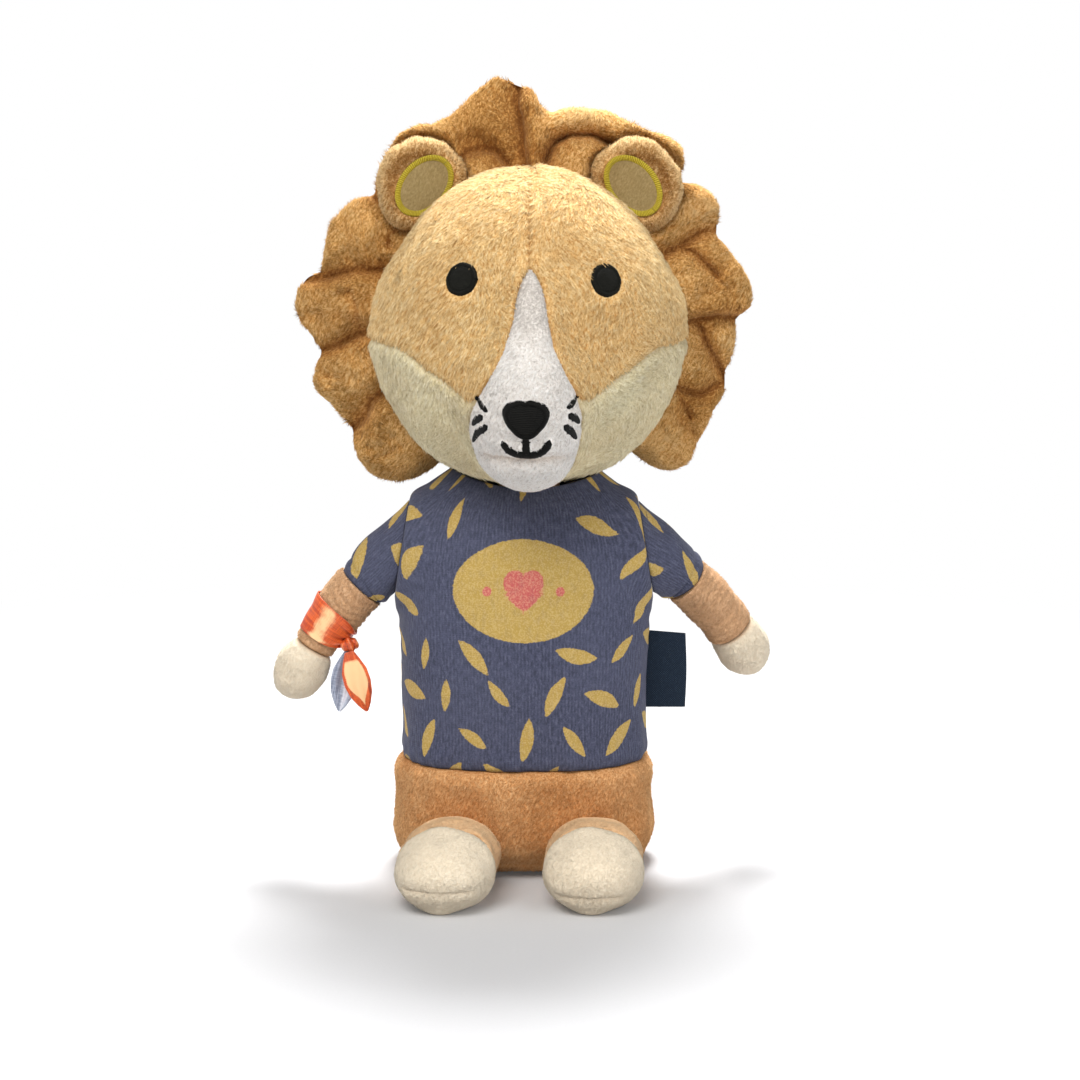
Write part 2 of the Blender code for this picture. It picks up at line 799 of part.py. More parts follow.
def sleeve_rings(side):
    """Short sleeve, wide at the armhole and narrow at its hem, curving downwards."""
    rings = []
    for step in range(SLEEVE_STEPS + 1):
        share = step / SLEEVE_STEPS
        out = SEAM_GAP / 2 + SLEEVE_OUT * share
        down = SLEEVE_DOWN * share
        turn = SLEEVE_HEM_TURN * share**SLEEVE_TURN_SHARE
        half_height = ARMHOLE_HEIGHT / 2 + share * (SLEEVE_HEM_DIAMETER - ARMHOLE_HEIGHT) / 2
        half_depth = ARMHOLE_DEPTH / 2 + share * (SLEEVE_HEM_DIAMETER - ARMHOLE_DEPTH) / 2
        rings.append(arm_ring(side, out, down, turn, half_height, half_depth))
    return rings


def arm_course(length):
    """Place and heading of the arm's middle line at a length from the sleeve's hem."""
    whole = FOREARM_LENGTH + HAND_LENGTH
    out = SLEEVE_OUT
    down = SLEEVE_DOWN
    stride = length / COURSE_STEPS
    for step in range(COURSE_STEPS):
        middle = stride * (2 * step + 1) / 2
        turn = SLEEVE_HEM_TURN + (HAND_TURN - SLEEVE_HEM_TURN) * middle / whole
        out += math.cos(turn) * stride
        down += math.sin(turn) * stride
    return out, down, SLEEVE_HEM_TURN + (HAND_TURN - SLEEVE_HEM_TURN) * length / whole


def forearm_radius(share, wrist):
    """Half width of the forearm: full at the hem, drawn in to the wrist as a cosine."""
    start, extent = WRIST_DRAW_SHARES
    draw = (1 - math.cos(math.pi * min(1.0, max(0.0, (share - start) / extent)))) / 2
    return FOREARM_DIAMETER / 2 + draw * (wrist - FOREARM_DIAMETER) / 2


def limb_rings(side, start, end, steps, radius):
    """Rings along the arm between two lengths, with a radius that depends on the length."""
    rings = []
    for step in range(steps + 1):
        length = start + (end - start) * step / steps
        out, down, turn = arm_course(length)
        rings.append(arm_ring(side, out, down, turn, radius(length), radius(length)))
    return rings


def hand_rings(side, wrist):
    """Rounded mitten: it swells from the wrist and closes as a half ellipse."""
    start = FOREARM_LENGTH + SEAM_GAP
    rings = []
    for step in range(HAND_STEPS):
        share = step / HAND_STEPS
        swell = math.sin(math.pi / 2 * min(1.0, share / HAND_SWELL_SHARE))
        radius = wrist / 2 + swell * (HAND_DIAMETER - wrist) / 2
        past = max(0.0, (share - HAND_SWELL_SHARE) / (1 - HAND_SWELL_SHARE))
        radius *= math.sqrt(1 - past**2)
        out, down, turn = arm_course(start + share * HAND_LENGTH)
        rings.append(arm_ring(side, out, down, turn, radius, radius))
    out, down, turn = arm_course(start + HAND_LENGTH)
    rings.append([arm_point(side, out, down)])
    return rings


def make_arm(label, side, wrist, empty):
    """Sleeve, forearm and hand of one arm."""
    sleeve = add_piece(f"sleeve_{label}", loft("sleeve", sleeve_rings(side)), SHIRT_JERSEY)

    def radius(length):
        return forearm_radius(length / FOREARM_LENGTH, wrist)

    rings = limb_rings(side, SEAM_GAP, FOREARM_LENGTH, FOREARM_STEPS, radius)
    forearm = add_piece(f"forearm_{label}", loft("forearm", rings), TAN_VELOUR)
    hand = add_piece(f"hand_{label}", loft("hand", hand_rings(side, wrist)), CREAM_VELOUR)
    carry(empty, sleeve, forearm, hand)


def band_rings(side, grow_in, grow_out):
    """Rings of the ribbon's outer face or, with other growths, of a solid round it."""

    def radius(length):
        share = length / FOREARM_LENGTH
        return forearm_radius(share, TIED_WRIST_DIAMETER) + grow_out

    start = RIBBON_START - grow_in
    end = RIBBON_START + RIBBON_WIDTH + grow_in
    return limb_rings(side, start, end, RIBBON_STEPS, radius)


def make_ribbon(side, empty):
    """Satin band round the wrist, its knot, and two tails that swing from the knot."""
    outer = SEAM_GAP + RIBBON_THICKNESS
    band = add_piece("ribbon_band", loft("ribbon_band", band_rings(side, 0.0, outer)), ORANGE_SATIN)
    arm_room = loft("ribbon_arm_room", band_rings(side, RIBBON_OVERRUN, SEAM_GAP))
    arm_room = add_cutter("ribbon_arm_room", arm_room)
    cut(band, arm_room)
    band_room = loft("ribbon_band_room", band_rings(side, SEAM_GAP, outer + SEAM_GAP))
    band_room = add_cutter("ribbon_band_room", band_room)
    length = RIBBON_START + RIBBON_WIDTH * KNOT_PLACE_SHARE
    out, down, turn = arm_course(length)
    radius = forearm_radius(length / FOREARM_LENGTH, TIED_WRIST_DIAMETER)
    inward = Vector((-side * math.sin(turn), 0, -math.cos(turn)))
    towards = inward * math.cos(KNOT_TURN) + Vector((0, -math.sin(KNOT_TURN), 0))
    place = arm_point(side, out, down) + towards * (radius + outer + KNOT_WIDTH * KNOT_SEAT_SHARE)
    radii = (KNOT_WIDTH / 2, KNOT_DEPTH / 2, KNOT_HEIGHT / 2)
    mesh = ball("ribbon_knot", place, radii, points=KNOT_POINTS)
    knot = add_piece("ribbon_knot", mesh, ORANGE_SATIN)
    cut(knot, band_room)
    cut(knot, arm_room)
    carry(empty, band, arm_room, band_room, knot)
    return place


def tail_mesh(name, top, turn, offset):
    """Leaf-shaped end of the ribbon that hangs from a point, bowed forwards at its middle.

    Its tip lies a length further back than its top.
    """
    down = Vector((math.sin(turn), 0, -math.cos(turn)))
    across = Vector((math.cos(turn), 0, math.sin(turn)))
    rings = []
    for share, width in TAIL_SHARES:
        bow = TAIL_BOW * math.sin(math.pi * share)
        centre = top + down * (TAIL_LENGTH * share) + Vector((0, offset * share - bow, 0))
        half = TAIL_WIDTH / 2 * width
        thin = RIBBON_THICKNESS / 2
        ring = oval(
            centre, across, Vector((0, 1, 0)), half, thin, RIBBON_POINTS, TAIL_SQUARENESS_SHARE
        )
        rings.append(ring)
    return loft(name, rings)


def make_tails(empty):
    """Two tails of ribbon, drawn about the pivot below the knot."""
    front = Vector((0, -TAIL_SPACING / 2, -SEAM_GAP))
    orange = tail_mesh("ribbon_tail_orange", front, ORANGE_TAIL_TURN, 0.0)
    back = Vector((0, TAIL_SPACING / 2, -SEAM_GAP))
    blue = tail_mesh("ribbon_tail_blue", back, BLUE_TAIL_TURN, TAIL_BOW / 2)
    carry(
        empty,
        add_piece("ribbon_tail_orange", orange, ORANGE_SATIN),
        add_piece("ribbon_tail_blue", blue, BLUE_SATIN),
    )


# Legs, drawn about the hip, each pointing towards -Y

def leg_ring(forward, half_width, half_height, lean):
    """Upright oval across the leg. Its lower side leans forward by a length."""
    ring = oval(
        Vector((0, -forward, 0)),
        Vector((1, 0, 0)),
        Vector((0, 0, 1)),
        half_width,
        half_height,
        LIMB_POINTS,
    )
    return [point + Vector((0, lean * point.z / (LEG_HEIGHT / 2), 0)) for point in ring]


def make_leg(label, empty):
    """Leg with a round root, and a padded foot whose toe comes down to the floor."""
    half_width = LEG_WIDTH / 2
    half_height = LEG_HEIGHT / 2
    rings = [[Vector((0, half_height, 0))]]
    for step in range(1, ROOT_STEPS + 1):
        angle = math.pi / 2 * step / (ROOT_STEPS + 1)
        back = half_height * math.cos(angle)
        rings.append(leg_ring(-back, half_width * math.sin(angle), half_height * math.sin(angle), 0.0))
    for step in range(LEG_STEPS):
        share = step / (LEG_STEPS - 1)
        lean = FOOT_LEAN * share**2
        rings.append(leg_ring(LEG_LENGTH * share, half_width, half_height, lean))
    leg = add_piece(f"leg_{label}", loft(f"leg_{label}", rings), TAN_VELOUR)
    rings = []
    roundness, drop_share, lateness, tip_share = TOE_SHARES
    for step in range(FOOT_STEPS):
        share = step / FOOT_STEPS
        close = math.sqrt(1 - share**roundness)
        forward = LEG_LENGTH + SEAM_GAP + FOOT_LENGTH * share
        lean = FOOT_LEAN * (1 - share)
        width = half_width * FOOT_WIDTH_SHARE * close
        # The toe closes lower than the instep
        drop = Vector((0, 0, -half_height * drop_share * share**lateness * close))
        ring = leg_ring(forward, width, half_height * close, lean)
        rings.append([point + drop for point in ring])
    tip = LEG_LENGTH + SEAM_GAP + FOOT_LENGTH
    rings.append([Vector((0, -tip, -half_height * tip_share))])
    foot = add_piece(f"foot_{label}", loft(f"foot_{label}", rings), CREAM_VELOUR)
    reach = LEG_LENGTH + FOOT_LENGTH + OVERRUN
    name = f"floor_under_{label}_leg"
    low = Vector((-reach, -reach, -HIP_HEIGHT - OVERRUN))
    high = Vector((reach, reach, -HIP_HEIGHT))
    floor = add_cutter(name, box(name, low, high))
    cut(leg, floor)
    cut(foot, floor)
    carry(empty, leg, foot, floor)


def make_label(empty):
    """Folded woven label, drawn about the seam that it turns on, bare on both sides."""
    radius = LABEL_THICKNESS / 2
    rings = []
    for height in (-LABEL_HEIGHT / 2, LABEL_HEIGHT / 2):
        ring = []
        for step in range(LABEL_STEPS + 1):
            angle = math.pi / 2 + math.pi * step / LABEL_STEPS
            ring.append(Vector((radius * math.cos(angle), radius * math.sin(angle), height)))
        for step in range(LABEL_STEPS + 1):
            angle = -math.pi / 2 + math.pi * step / LABEL_STEPS
            along = LABEL_WIDTH - radius + radius * math.cos(angle)
            ring.append(Vector((along, radius * math.sin(angle), height)))
        rings.append(ring)
    carry(empty, add_piece("side_label", loft("side_label", rings), NAVY_WEAVE))


def shoulder(name, side, swing):
    """Pivot in the middle of an armhole, its X axis square to the armhole."""
    place = Vector((side * SHOULDER_SPACING / 2, 0, SEAT_HEIGHT + SHOULDER_RISE))
    turn = Matrix.Rotation(-side * ARMHOLE_TILT, 3, "Y") @ Matrix.Rotation(swing, 3, "X")
    return pivot(name, place, turn)


def hip(name, side, turn):
    """Pivot of a leg, just in front of the body."""
    place = Vector((side * LEG_SPACING / 2, HIP_POINT_Y, HIP_HEIGHT))
    return pivot(name, place, Matrix.Rotation(turn, 3, "Z"))


NECK_PIVOT = pivot("neck_pivot", HEAD_CENTRE)
HEAD_PIVOT = pivot("head_pivot", HEAD_CENTRE)
RIGHT_SHOULDER = shoulder("shoulder_right_pivot", -1, RIGHT_ARM_SWING)
LEFT_SHOULDER = shoulder("shoulder_left_pivot", 1, LEFT_ARM_SWING)
RIGHT_HIP = hip("hip_right_pivot", -1, RIGHT_LEG_TURN)
LEFT_HIP = hip("hip_left_pivot", 1, LEFT_LEG_TURN)


def main():
    head_room = make_head()
    make_torso()
    make_neck(head_room)
    make_seat()
    make_arm("right", -1, TIED_WRIST_DIAMETER, RIGHT_SHOULDER)
    make_arm("left", 1, WRIST_DIAMETER, LEFT_SHOULDER)
    knot = make_ribbon(-1, RIGHT_SHOULDER)
    bpy.context.view_layer.update()
    knot_place = RIGHT_SHOULDER.matrix_world @ knot
    below = Vector((0, -KNOT_DEPTH * TAIL_FRONT_SHARE, -KNOT_HEIGHT / 2 - SEAM_GAP))
    tail_place = knot_place + below
    make_tails(pivot("ribbon_tail_pivot", tail_place))
    make_leg("right", RIGHT_HIP)
    make_leg("left", LEFT_HIP)
    rise = LABEL_RISE + LABEL_HEIGHT / 2 + SEAT_HEIGHT
    widest = LABEL_SEAM_SHARE * SHIRT_WIDTH / 2
    seam = Vector((widest + LABEL_THICKNESS / 2 + SEAM_GAP, 0, rise))
    make_label(pivot("label_pivot", seam))


main()
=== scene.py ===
"""Dresses the plush lion: every stuffed, sewn and embroidered piece over its solid.

Metres, +Z up, the face towards -Y, the toy's own left side at +X.
"""

import json
import logging
import math
from dataclasses import dataclass, field
from enum import Enum
from typing import Callable, Optional, Sequence, Union

import bpy
import numpy as np
from mathutils import Matrix, Vector

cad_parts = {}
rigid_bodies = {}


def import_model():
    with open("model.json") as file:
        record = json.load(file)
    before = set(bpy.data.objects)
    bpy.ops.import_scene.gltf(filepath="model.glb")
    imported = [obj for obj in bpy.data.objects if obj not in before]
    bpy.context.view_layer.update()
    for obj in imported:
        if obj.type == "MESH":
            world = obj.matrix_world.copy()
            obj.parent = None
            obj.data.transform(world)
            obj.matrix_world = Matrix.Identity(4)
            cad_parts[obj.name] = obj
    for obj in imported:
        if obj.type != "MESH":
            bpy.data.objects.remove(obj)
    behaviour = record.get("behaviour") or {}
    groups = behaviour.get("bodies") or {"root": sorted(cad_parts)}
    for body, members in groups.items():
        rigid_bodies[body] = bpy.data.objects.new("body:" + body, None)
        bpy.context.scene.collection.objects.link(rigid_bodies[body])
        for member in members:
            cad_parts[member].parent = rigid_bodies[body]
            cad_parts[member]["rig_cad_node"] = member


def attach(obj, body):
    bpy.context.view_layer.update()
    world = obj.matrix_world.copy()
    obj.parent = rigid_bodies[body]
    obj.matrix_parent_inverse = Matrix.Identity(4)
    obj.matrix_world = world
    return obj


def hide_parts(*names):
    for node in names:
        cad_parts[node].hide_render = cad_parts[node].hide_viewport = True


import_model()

Array = np.ndarray
Nap = Callable[[Array, Array], Array]
Table = Sequence[Sequence[float]]
Pair = tuple[float, float]
Triple = tuple[float, float, float]
Pairs = tuple[Pair, ...]
Triples = tuple[Triple, ...]
Material = bpy.types.Material
LOG = logging.getLogger("plush_lion")
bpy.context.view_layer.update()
ORIGIN = np.zeros(())    # one place at 0, for methods that take arrays of places


class Body(Enum):
    """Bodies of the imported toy."""

    TRUNK = "body"
    NECK = "neck"
    HEAD = "head"
    ARM_RIGHT = "arm_right"
    ARM_LEFT = "arm_left"
    TAILS = "ribbon_tails"
    LEG_RIGHT = "leg_right"
    LEG_LEFT = "leg_left"
    LABEL = "label"


class Side(Enum):
    """The toy's own sides, and the sign of X on each."""

    RIGHT = -1
    LEFT = 1

    @property
    def label(self) -> str:
        """Lower-case word for names."""
        return self.name.lower()

    def mirrored(self, point: Triple) -> Array:
        """A place on this side, given for the left one."""
        return np.array(point) * np.array([self.value, 1, 1])


# Where the left leg and the left arm turn, and how far the armholes lean back from upright
HIP = (0.025, -0.040, 0.0126)
SHOULDER = (0.0438, 0.0, 0.1158)
ARMHOLE_TILT = math.radians(9)


# Numbers and surfaces


def unit(vectors: Array) -> Array:
    """Vectors scaled to length 1: v / |v|.

    Args:
        vectors: any array whose last axis is x, y, z.

    Returns:
        An array of the same shape.
    """
    length = np.linalg.norm(vectors, axis=-1, keepdims=True)
    return vectors / np.maximum(length, 1e-12)


def ease(low: float, high: float, values: Array) -> Array:
    """Smooth step: 3t^2 - 2t^3, where t runs from 0 at low to 1 at high.

    Args:
        low: value where the step starts.
        high: value where it ends.
        values: where it is wanted.

    Returns:
        Numbers from 0 to 1.
    """
    share = np.clip((values - low) / (high - low), 0.0, 1.0)
    return share * share * (3 - 2 * share)


def bell(values: Array, width: float) -> Array:
    """Bell curve exp(-(v / width)^2)."""
    return np.exp(-((values / width) ** 2))


def fade(distance: Array, width: float) -> Array:
    """Sharp fall e^(-|d| / width) from 1 on a line, as beside a drawn-in seam."""
    return np.exp(-np.abs(distance) / width)


def circle(count: int) -> Array:
    """Even angles once round, without the last."""
    return np.linspace(0, 2 * math.pi, count, endpoint=False)


def outward(rings: Array) -> Array:
    """Direction of each point from the middle of its ring."""
    return unit(rings - rings.mean(axis=1, keepdims=True))


def along_table(table: Table, column: int, places: Array, blur: float) -> Array:
    """A column of a table over its first column, with its corners rounded off.

    The table is read straight between rows at 600 places, then averaged with a bell curve.

    Args:
        table: rows that start with the place.
        column: which column is wanted.
        places: where it is wanted.
        blur: width of the bell curve, in the units of the first column.

    Returns:
        The column's values at the places.
    """
    rows = np.array(table, float)
    fine = np.linspace(rows[0, 0], rows[-1, 0], 600)
    values = np.interp(fine, rows[:, 0], rows[:, column])
    if blur > 0:
        step = fine[1] - fine[0]
        reach = max(1, int(3 * blur / step))
        weights = bell(np.arange(-reach, reach + 1) * step, blur)
        padded = np.concatenate(
            [
                2 * values[0] - values[reach:0:-1],
                values,
                2 * values[-1] - values[-2 : -reach - 2 : -1],
            ]
        )
        values = np.convolve(padded, weights / weights.sum(), mode="valid")
    return np.interp(places, fine, values)


@dataclass(frozen=True)
class Ripple:
    """Gentle unevenness, as cloth over stuffing has: waves of about one length, all ways.

    The height at p is sqrt(2/n) times the sum of cos(2 pi d_k.p / length_k + phase_k).
    """

    length: float
    seed: int
    stretch: Triple = (1.0, 1.0, 1.0)
    waves: int = 22

    def at(self, points: Array) -> Array:
        """Height at points, mostly from -1 to 1.

        Args:
            points: an array whose last axis is x, y, z, in metres.

        Returns:
            The heights, without the last axis.
        """
        draw = np.random.default_rng(self.seed)
        heading = unit(draw.normal(size=(self.waves, 3))) * np.array(self.stretch)
        heading /= (self.length * draw.uniform(0.7, 1.5, self.waves))[:, None]
        phase = draw.uniform(0, 2 * math.pi, self.waves)
        flat = points.reshape(-1, 3)
        total = np.zeros(len(flat))
        for way, start in zip(heading, phase):
            total += np.cos(2 * math.pi * (flat @ way) + start)
        return (total * math.sqrt(2 / self.waves) * 0.7).reshape(points.shape[:-1])


def stroke_distance(line: Table, across: Array, up: Array) -> tuple[Array, Array, Array]:
    """Distance of places from a bent line, and the signed side and share along it.

    For each straight stretch a to b the nearest point is a + t(b - a), t clipped to 0..1.

    Args:
        line: the line's points, as pairs.
        across: first coordinate of the places.
        up: second coordinate of the places.

    Returns:
        Distance, the same with the sign of the line's left side, and the share of its length.
    """
    points = np.array(line, float)
    steps = points[1:] - points[:-1]
    lengths = np.hypot(steps[:, 0], steps[:, 1])
    before = np.concatenate([[0.0], np.cumsum(lengths)])
    best = np.full(across.shape, 1e9)
    signed = np.zeros(across.shape)
    share = np.zeros(across.shape)
    for start, step, length, run in zip(points[:-1], steps, lengths, before):
        away_x = across - start[0]
        away_y = up - start[1]
        part = np.clip((away_x * step[0] + away_y * step[1]) / length**2, 0, 1)
        gap = np.hypot(away_x - part * step[0], away_y - part * step[1])
        turn = np.sign(step[0] * away_y - step[1] * away_x)
        nearer = gap < best
        best = np.where(nearer, gap, best)
        signed = np.where(nearer, gap * turn, signed)
        share = np.where(nearer, (run + part * length) / before[-1], share)
    return best, signed, share


@dataclass
class Surface:
    """A closed surface of four- and three-cornered faces, with values at its points."""

    points: Array
    quads: Array
    tris: Array = field(default_factory=lambda: np.zeros((0, 3), np.int64))
    values: dict[str, Array] = field(default_factory=dict)
    quad_uv: Optional[Array] = None
    tri_uv: Optional[Array] = None
    normals_set: Optional[Array] = None

    def triangles(self) -> Array:
        """All faces as triangles, the four-cornered ones cut once."""
        return np.concatenate([self.quads[:, [0, 1, 2]], self.quads[:, [0, 2, 3]], self.tris])

    def turn_outward(self) -> None:
        """Reverse every face if the enclosed volume, sum of a.(b x c) / 6, is negative."""
        corners = self.points[self.triangles()]
        volume = np.einsum("ij,ij->i", corners[:, 0], np.cross(corners[:, 1], corners[:, 2])).sum()
        if volume < 0:
            self.quads = self.quads[:, ::-1]
            self.tris = self.tris[:, ::-1]
            if self.quad_uv is not None:
                self.quad_uv = self.quad_uv[:, ::-1]
                self.tri_uv = self.tri_uv[:, ::-1]

    def normals(self) -> Array:
        """Outward direction at each point: the area-weighted mean of its faces'.

        Returns:
            Unit vectors, one a point.
        """
        faces = self.triangles()
        corners = self.points[faces]
        across = np.cross(corners[:, 1] - corners[:, 0], corners[:, 2] - corners[:, 0])
        total = np.zeros_like(self.points)
        for corner in range(3):
            for axis in range(3):
                total[:, axis] += np.bincount(
                    faces[:, corner], across[:, axis], minlength=len(self.points)
                )
        return unit(total)

    def swell(self, amount: Array) -> None:
        """Move each point outwards by its own amount, in metres."""
        self.points = self.points + self.normals() * np.asarray(amount)[..., None]

    def mesh(self, name: str, material: Material) -> bpy.types.Mesh:
        """The surface as a smooth-shaded mesh.

        Args:
            name: name of the mesh.
            material: its only material.

        Returns:
            The new mesh.
        """
        self.turn_outward()
        mesh = bpy.data.meshes.new(name)
        mesh.vertices.add(len(self.points))
        mesh.vertices.foreach_set("co", self.points.astype(np.float32).ravel())
        corners = np.concatenate([self.quads.ravel(), self.tris.ravel()]).astype(np.int32)
        four, three = len(self.quads), len(self.tris)
        starts = np.concatenate([np.arange(four) * 4, four * 4 + np.arange(three) * 3])
        mesh.loops.add(len(corners))
        mesh.loops.foreach_set("vertex_index", corners)
        mesh.polygons.add(four + three)
        mesh.polygons.foreach_set("loop_start", starts.astype(np.int32))
        if self.quad_uv is not None:
            layer = mesh.uv_layers.new(name="cloth")
            flat = np.concatenate([self.quad_uv.reshape(-1, 2), self.tri_uv.reshape(-1, 2)])
            layer.data.foreach_set("uv", flat.astype(np.float32).ravel())
        for key, value in self.values.items():
            held = mesh.attributes.new(key, "FLOAT", "POINT")
            held.data.foreach_set("value", np.asarray(value, np.float32).ravel())
        mesh.update(calc_edges=True)
        mesh.validate()
        mesh.shade_smooth()
        if self.normals_set is not None:
            mesh.normals_split_custom_set_from_vertices(self.normals_set.astype(np.float32))
        mesh.materials.append(material)
        return mesh


def joined(surfaces: Sequence[Surface]) -> Surface:
    """Several surfaces as one, each still closed on its own.

    Args:
        surfaces: the surfaces, which hold the same values.

    Returns:
        One surface.
    """
    points, quads, tris = [], [], []
    values: dict[str, list[Array]] = {key: [] for key in surfaces[0].values}
    shift = 0
    for one in surfaces:
        one.turn_outward()
        points.append(one.points)
        quads.append(one.quads + shift)
        tris.append(one.tris + shift)
        for key in values:
            values[key].append(one.values[key])
        shift += len(one.points)
    whole = Surface(np.concatenate(points), np.concatenate(quads), np.concatenate(tris))
    whole.values = {key: np.concatenate(parts) for key, parts in values.items()}
    if all(one.quad_uv is not None for one in surfaces):
        whole.quad_uv = np.concatenate([one.quad_uv for one in surfaces])
        whole.tri_uv = np.concatenate([one.tri_uv for one in surfaces])
    return whole


def loft(
    rings: Array,
    values: Optional[dict[str, Array]] = None,
    start: Optional[Array] = None,
    end: Optional[Array] = None,
) -> Surface:
    """Closed surface through rings of points, each end drawn in to one point.

    Point (i, j) of the grid is ring i at angle 2 pi j / n. UV runs in metres: u is the mean
    girth times j / n, v is the mean distance from the first ring.

    Args:
        rings: array of rings, points and x, y, z.
        values: arrays of rings by points. The ends take their ring's mean.
        start: the point that closes the first ring, or else its middle.
        end: the point that closes the last ring, or else its middle.

    Returns:
        The surface.
    """
    start = rings[0].mean(axis=0) if start is None else start
    end = rings[-1].mean(axis=0) if end is None else end
    rows, count, _ = rings.shape
    grid = np.arange(rows * count).reshape(rows, count)
    after = np.roll(grid, -1, axis=1)
    quads = np.stack([grid[:-1], after[:-1], after[1:], grid[1:]], axis=-1).reshape(-1, 4)
    low, high = rows * count, rows * count + 1
    first = np.stack([after[0], grid[0], np.full(count, low)], axis=-1)
    last = np.stack([grid[-1], after[-1], np.full(count, high)], axis=-1)
    points = np.concatenate([rings.reshape(-1, 3), [start], [end]])
    girth = np.linalg.norm(rings - np.roll(rings, -1, axis=1), axis=-1).sum(axis=1).mean()
    steps = np.linalg.norm(np.diff(rings, axis=0), axis=-1).mean(axis=1)
    run = np.concatenate([[0.0], np.cumsum(steps)])
    turn = np.arange(count) * girth / count
    width = girth / count
    corner_u = np.stack([turn, turn + width, turn + width, turn], axis=-1)
    quad_u = np.broadcast_to(corner_u, (rows - 1, count, 4))
    quad_v = np.stack([run[:-1], run[:-1], run[1:], run[1:]], axis=-1)[:, None, :]
    quad_v = np.broadcast_to(quad_v, (rows - 1, count, 4))
    tri_u = np.stack([turn + width, turn, turn + width / 2], axis=-1)
    tri_low = np.broadcast_to(np.array([0.0, 0.0, -0.001]), (count, 3))
    tri_high = np.broadcast_to(np.array([run[-1], run[-1], run[-1] + 0.001]), (count, 3))
    last_u = np.stack([turn, turn + width, turn + width / 2], axis=-1)
    surface = Surface(points, quads, np.concatenate([first, last]))
    surface.quad_uv = np.stack([quad_u, quad_v], axis=-1).reshape(-1, 4, 2)
    surface.tri_uv = np.concatenate(
        [np.stack([tri_u, tri_low], axis=-1), np.stack([last_u, tri_high], axis=-1)]
    )
    for key, value in (values or {}).items():
        ends = [value[0].mean(), value[-1].mean()]
        surface.values[key] = np.concatenate([value.ravel(), ends])
    return surface


def closed_sheet(front: Array, back: Array, values: Optional[dict[str, Array]] = None) -> Surface:
    """Two facing grids of points joined round their borders.

    Args:
        front: array of rows, columns and x, y, z.
        back: the same for the other face.
        values: arrays of rows by columns, the same on both faces.

    Returns:
        The surface, with UV in metres over each face.
    """
    rows, columns, _ = front.shape
    grid = np.arange(rows * columns).reshape(rows, columns)
    other = grid + rows * columns
    face = np.stack([grid[:-1, :-1], grid[:-1, 1:], grid[1:, 1:], grid[1:, :-1]], -1)
    border = np.concatenate([grid[0, :-1], grid[:-1, -1], grid[-1, :0:-1], grid[:0:-1, 0]])
    onward = np.roll(border, -1)
    shift = rows * columns
    wall = np.stack([onward, border, border + shift, onward + shift], axis=-1)
    reverse = np.stack([other[:-1, :-1], other[1:, :-1], other[1:, 1:], other[:-1, 1:]], -1)
    quads = np.concatenate([face.reshape(-1, 4), reverse.reshape(-1, 4), wall])
    points = np.concatenate([front.reshape(-1, 3), back.reshape(-1, 3)])
    surface = Surface(points, quads)
    wide = np.linalg.norm(np.diff(front, axis=1), axis=-1).sum(axis=1).max() / (columns - 1)
    tall = np.linalg.norm(np.diff(front, axis=0), axis=-1).sum(axis=0).max() / (rows - 1)
    place = np.stack(np.meshgrid(np.arange(columns) * wide, np.arange(rows) * tall), axis=-1)
    both = np.concatenate([place.reshape(-1, 2)] * 2)
    surface.quad_uv = both[surface.quads]
    surface.tri_uv = np.zeros((0, 3, 2))
    for key, value in (values or {}).items():
        surface.values[key] = np.concatenate([value.ravel(), value.ravel()])
    return surface


def ball_directions(count: int) -> tuple[Array, Array]:
    """Directions spread evenly over a ball, from six faces of a cube, with its quads.

    On each face the place is tan(pi/4 a), tan(pi/4 b), 1 for a and b from -1 to 1, scaled to 1.

    Args:
        count: quads along a side of each face.

    Returns:
        The directions and the quads, with shared points merged.
    """
    line = np.tan(np.linspace(-1, 1, count + 1) * math.pi / 4)
    a, b = np.meshgrid(line, line, indexing="ij")
    one = np.ones_like(a)
    faces = [(one, a, b), (-one, b, a), (b, one, a), (a, -one, b), (a, b, one), (b, a, -one)]
    points = np.concatenate([np.stack(face, axis=-1).reshape(-1, 3) for face in faces])
    grid = np.arange((count + 1) ** 2).reshape(count + 1, count + 1)
    quad = np.stack([grid[:-1, :-1], grid[1:, :-1], grid[1:, 1:], grid[:-1, 1:]], -1)
    quads = np.concatenate([quad.reshape(-1, 4) + k * grid.size for k in range(6)])
    _, first, index = np.unique(
        np.round(points, 6), axis=0, return_index=True, return_inverse=True
    )
    return unit(points[first]), index.reshape(-1)[quads]


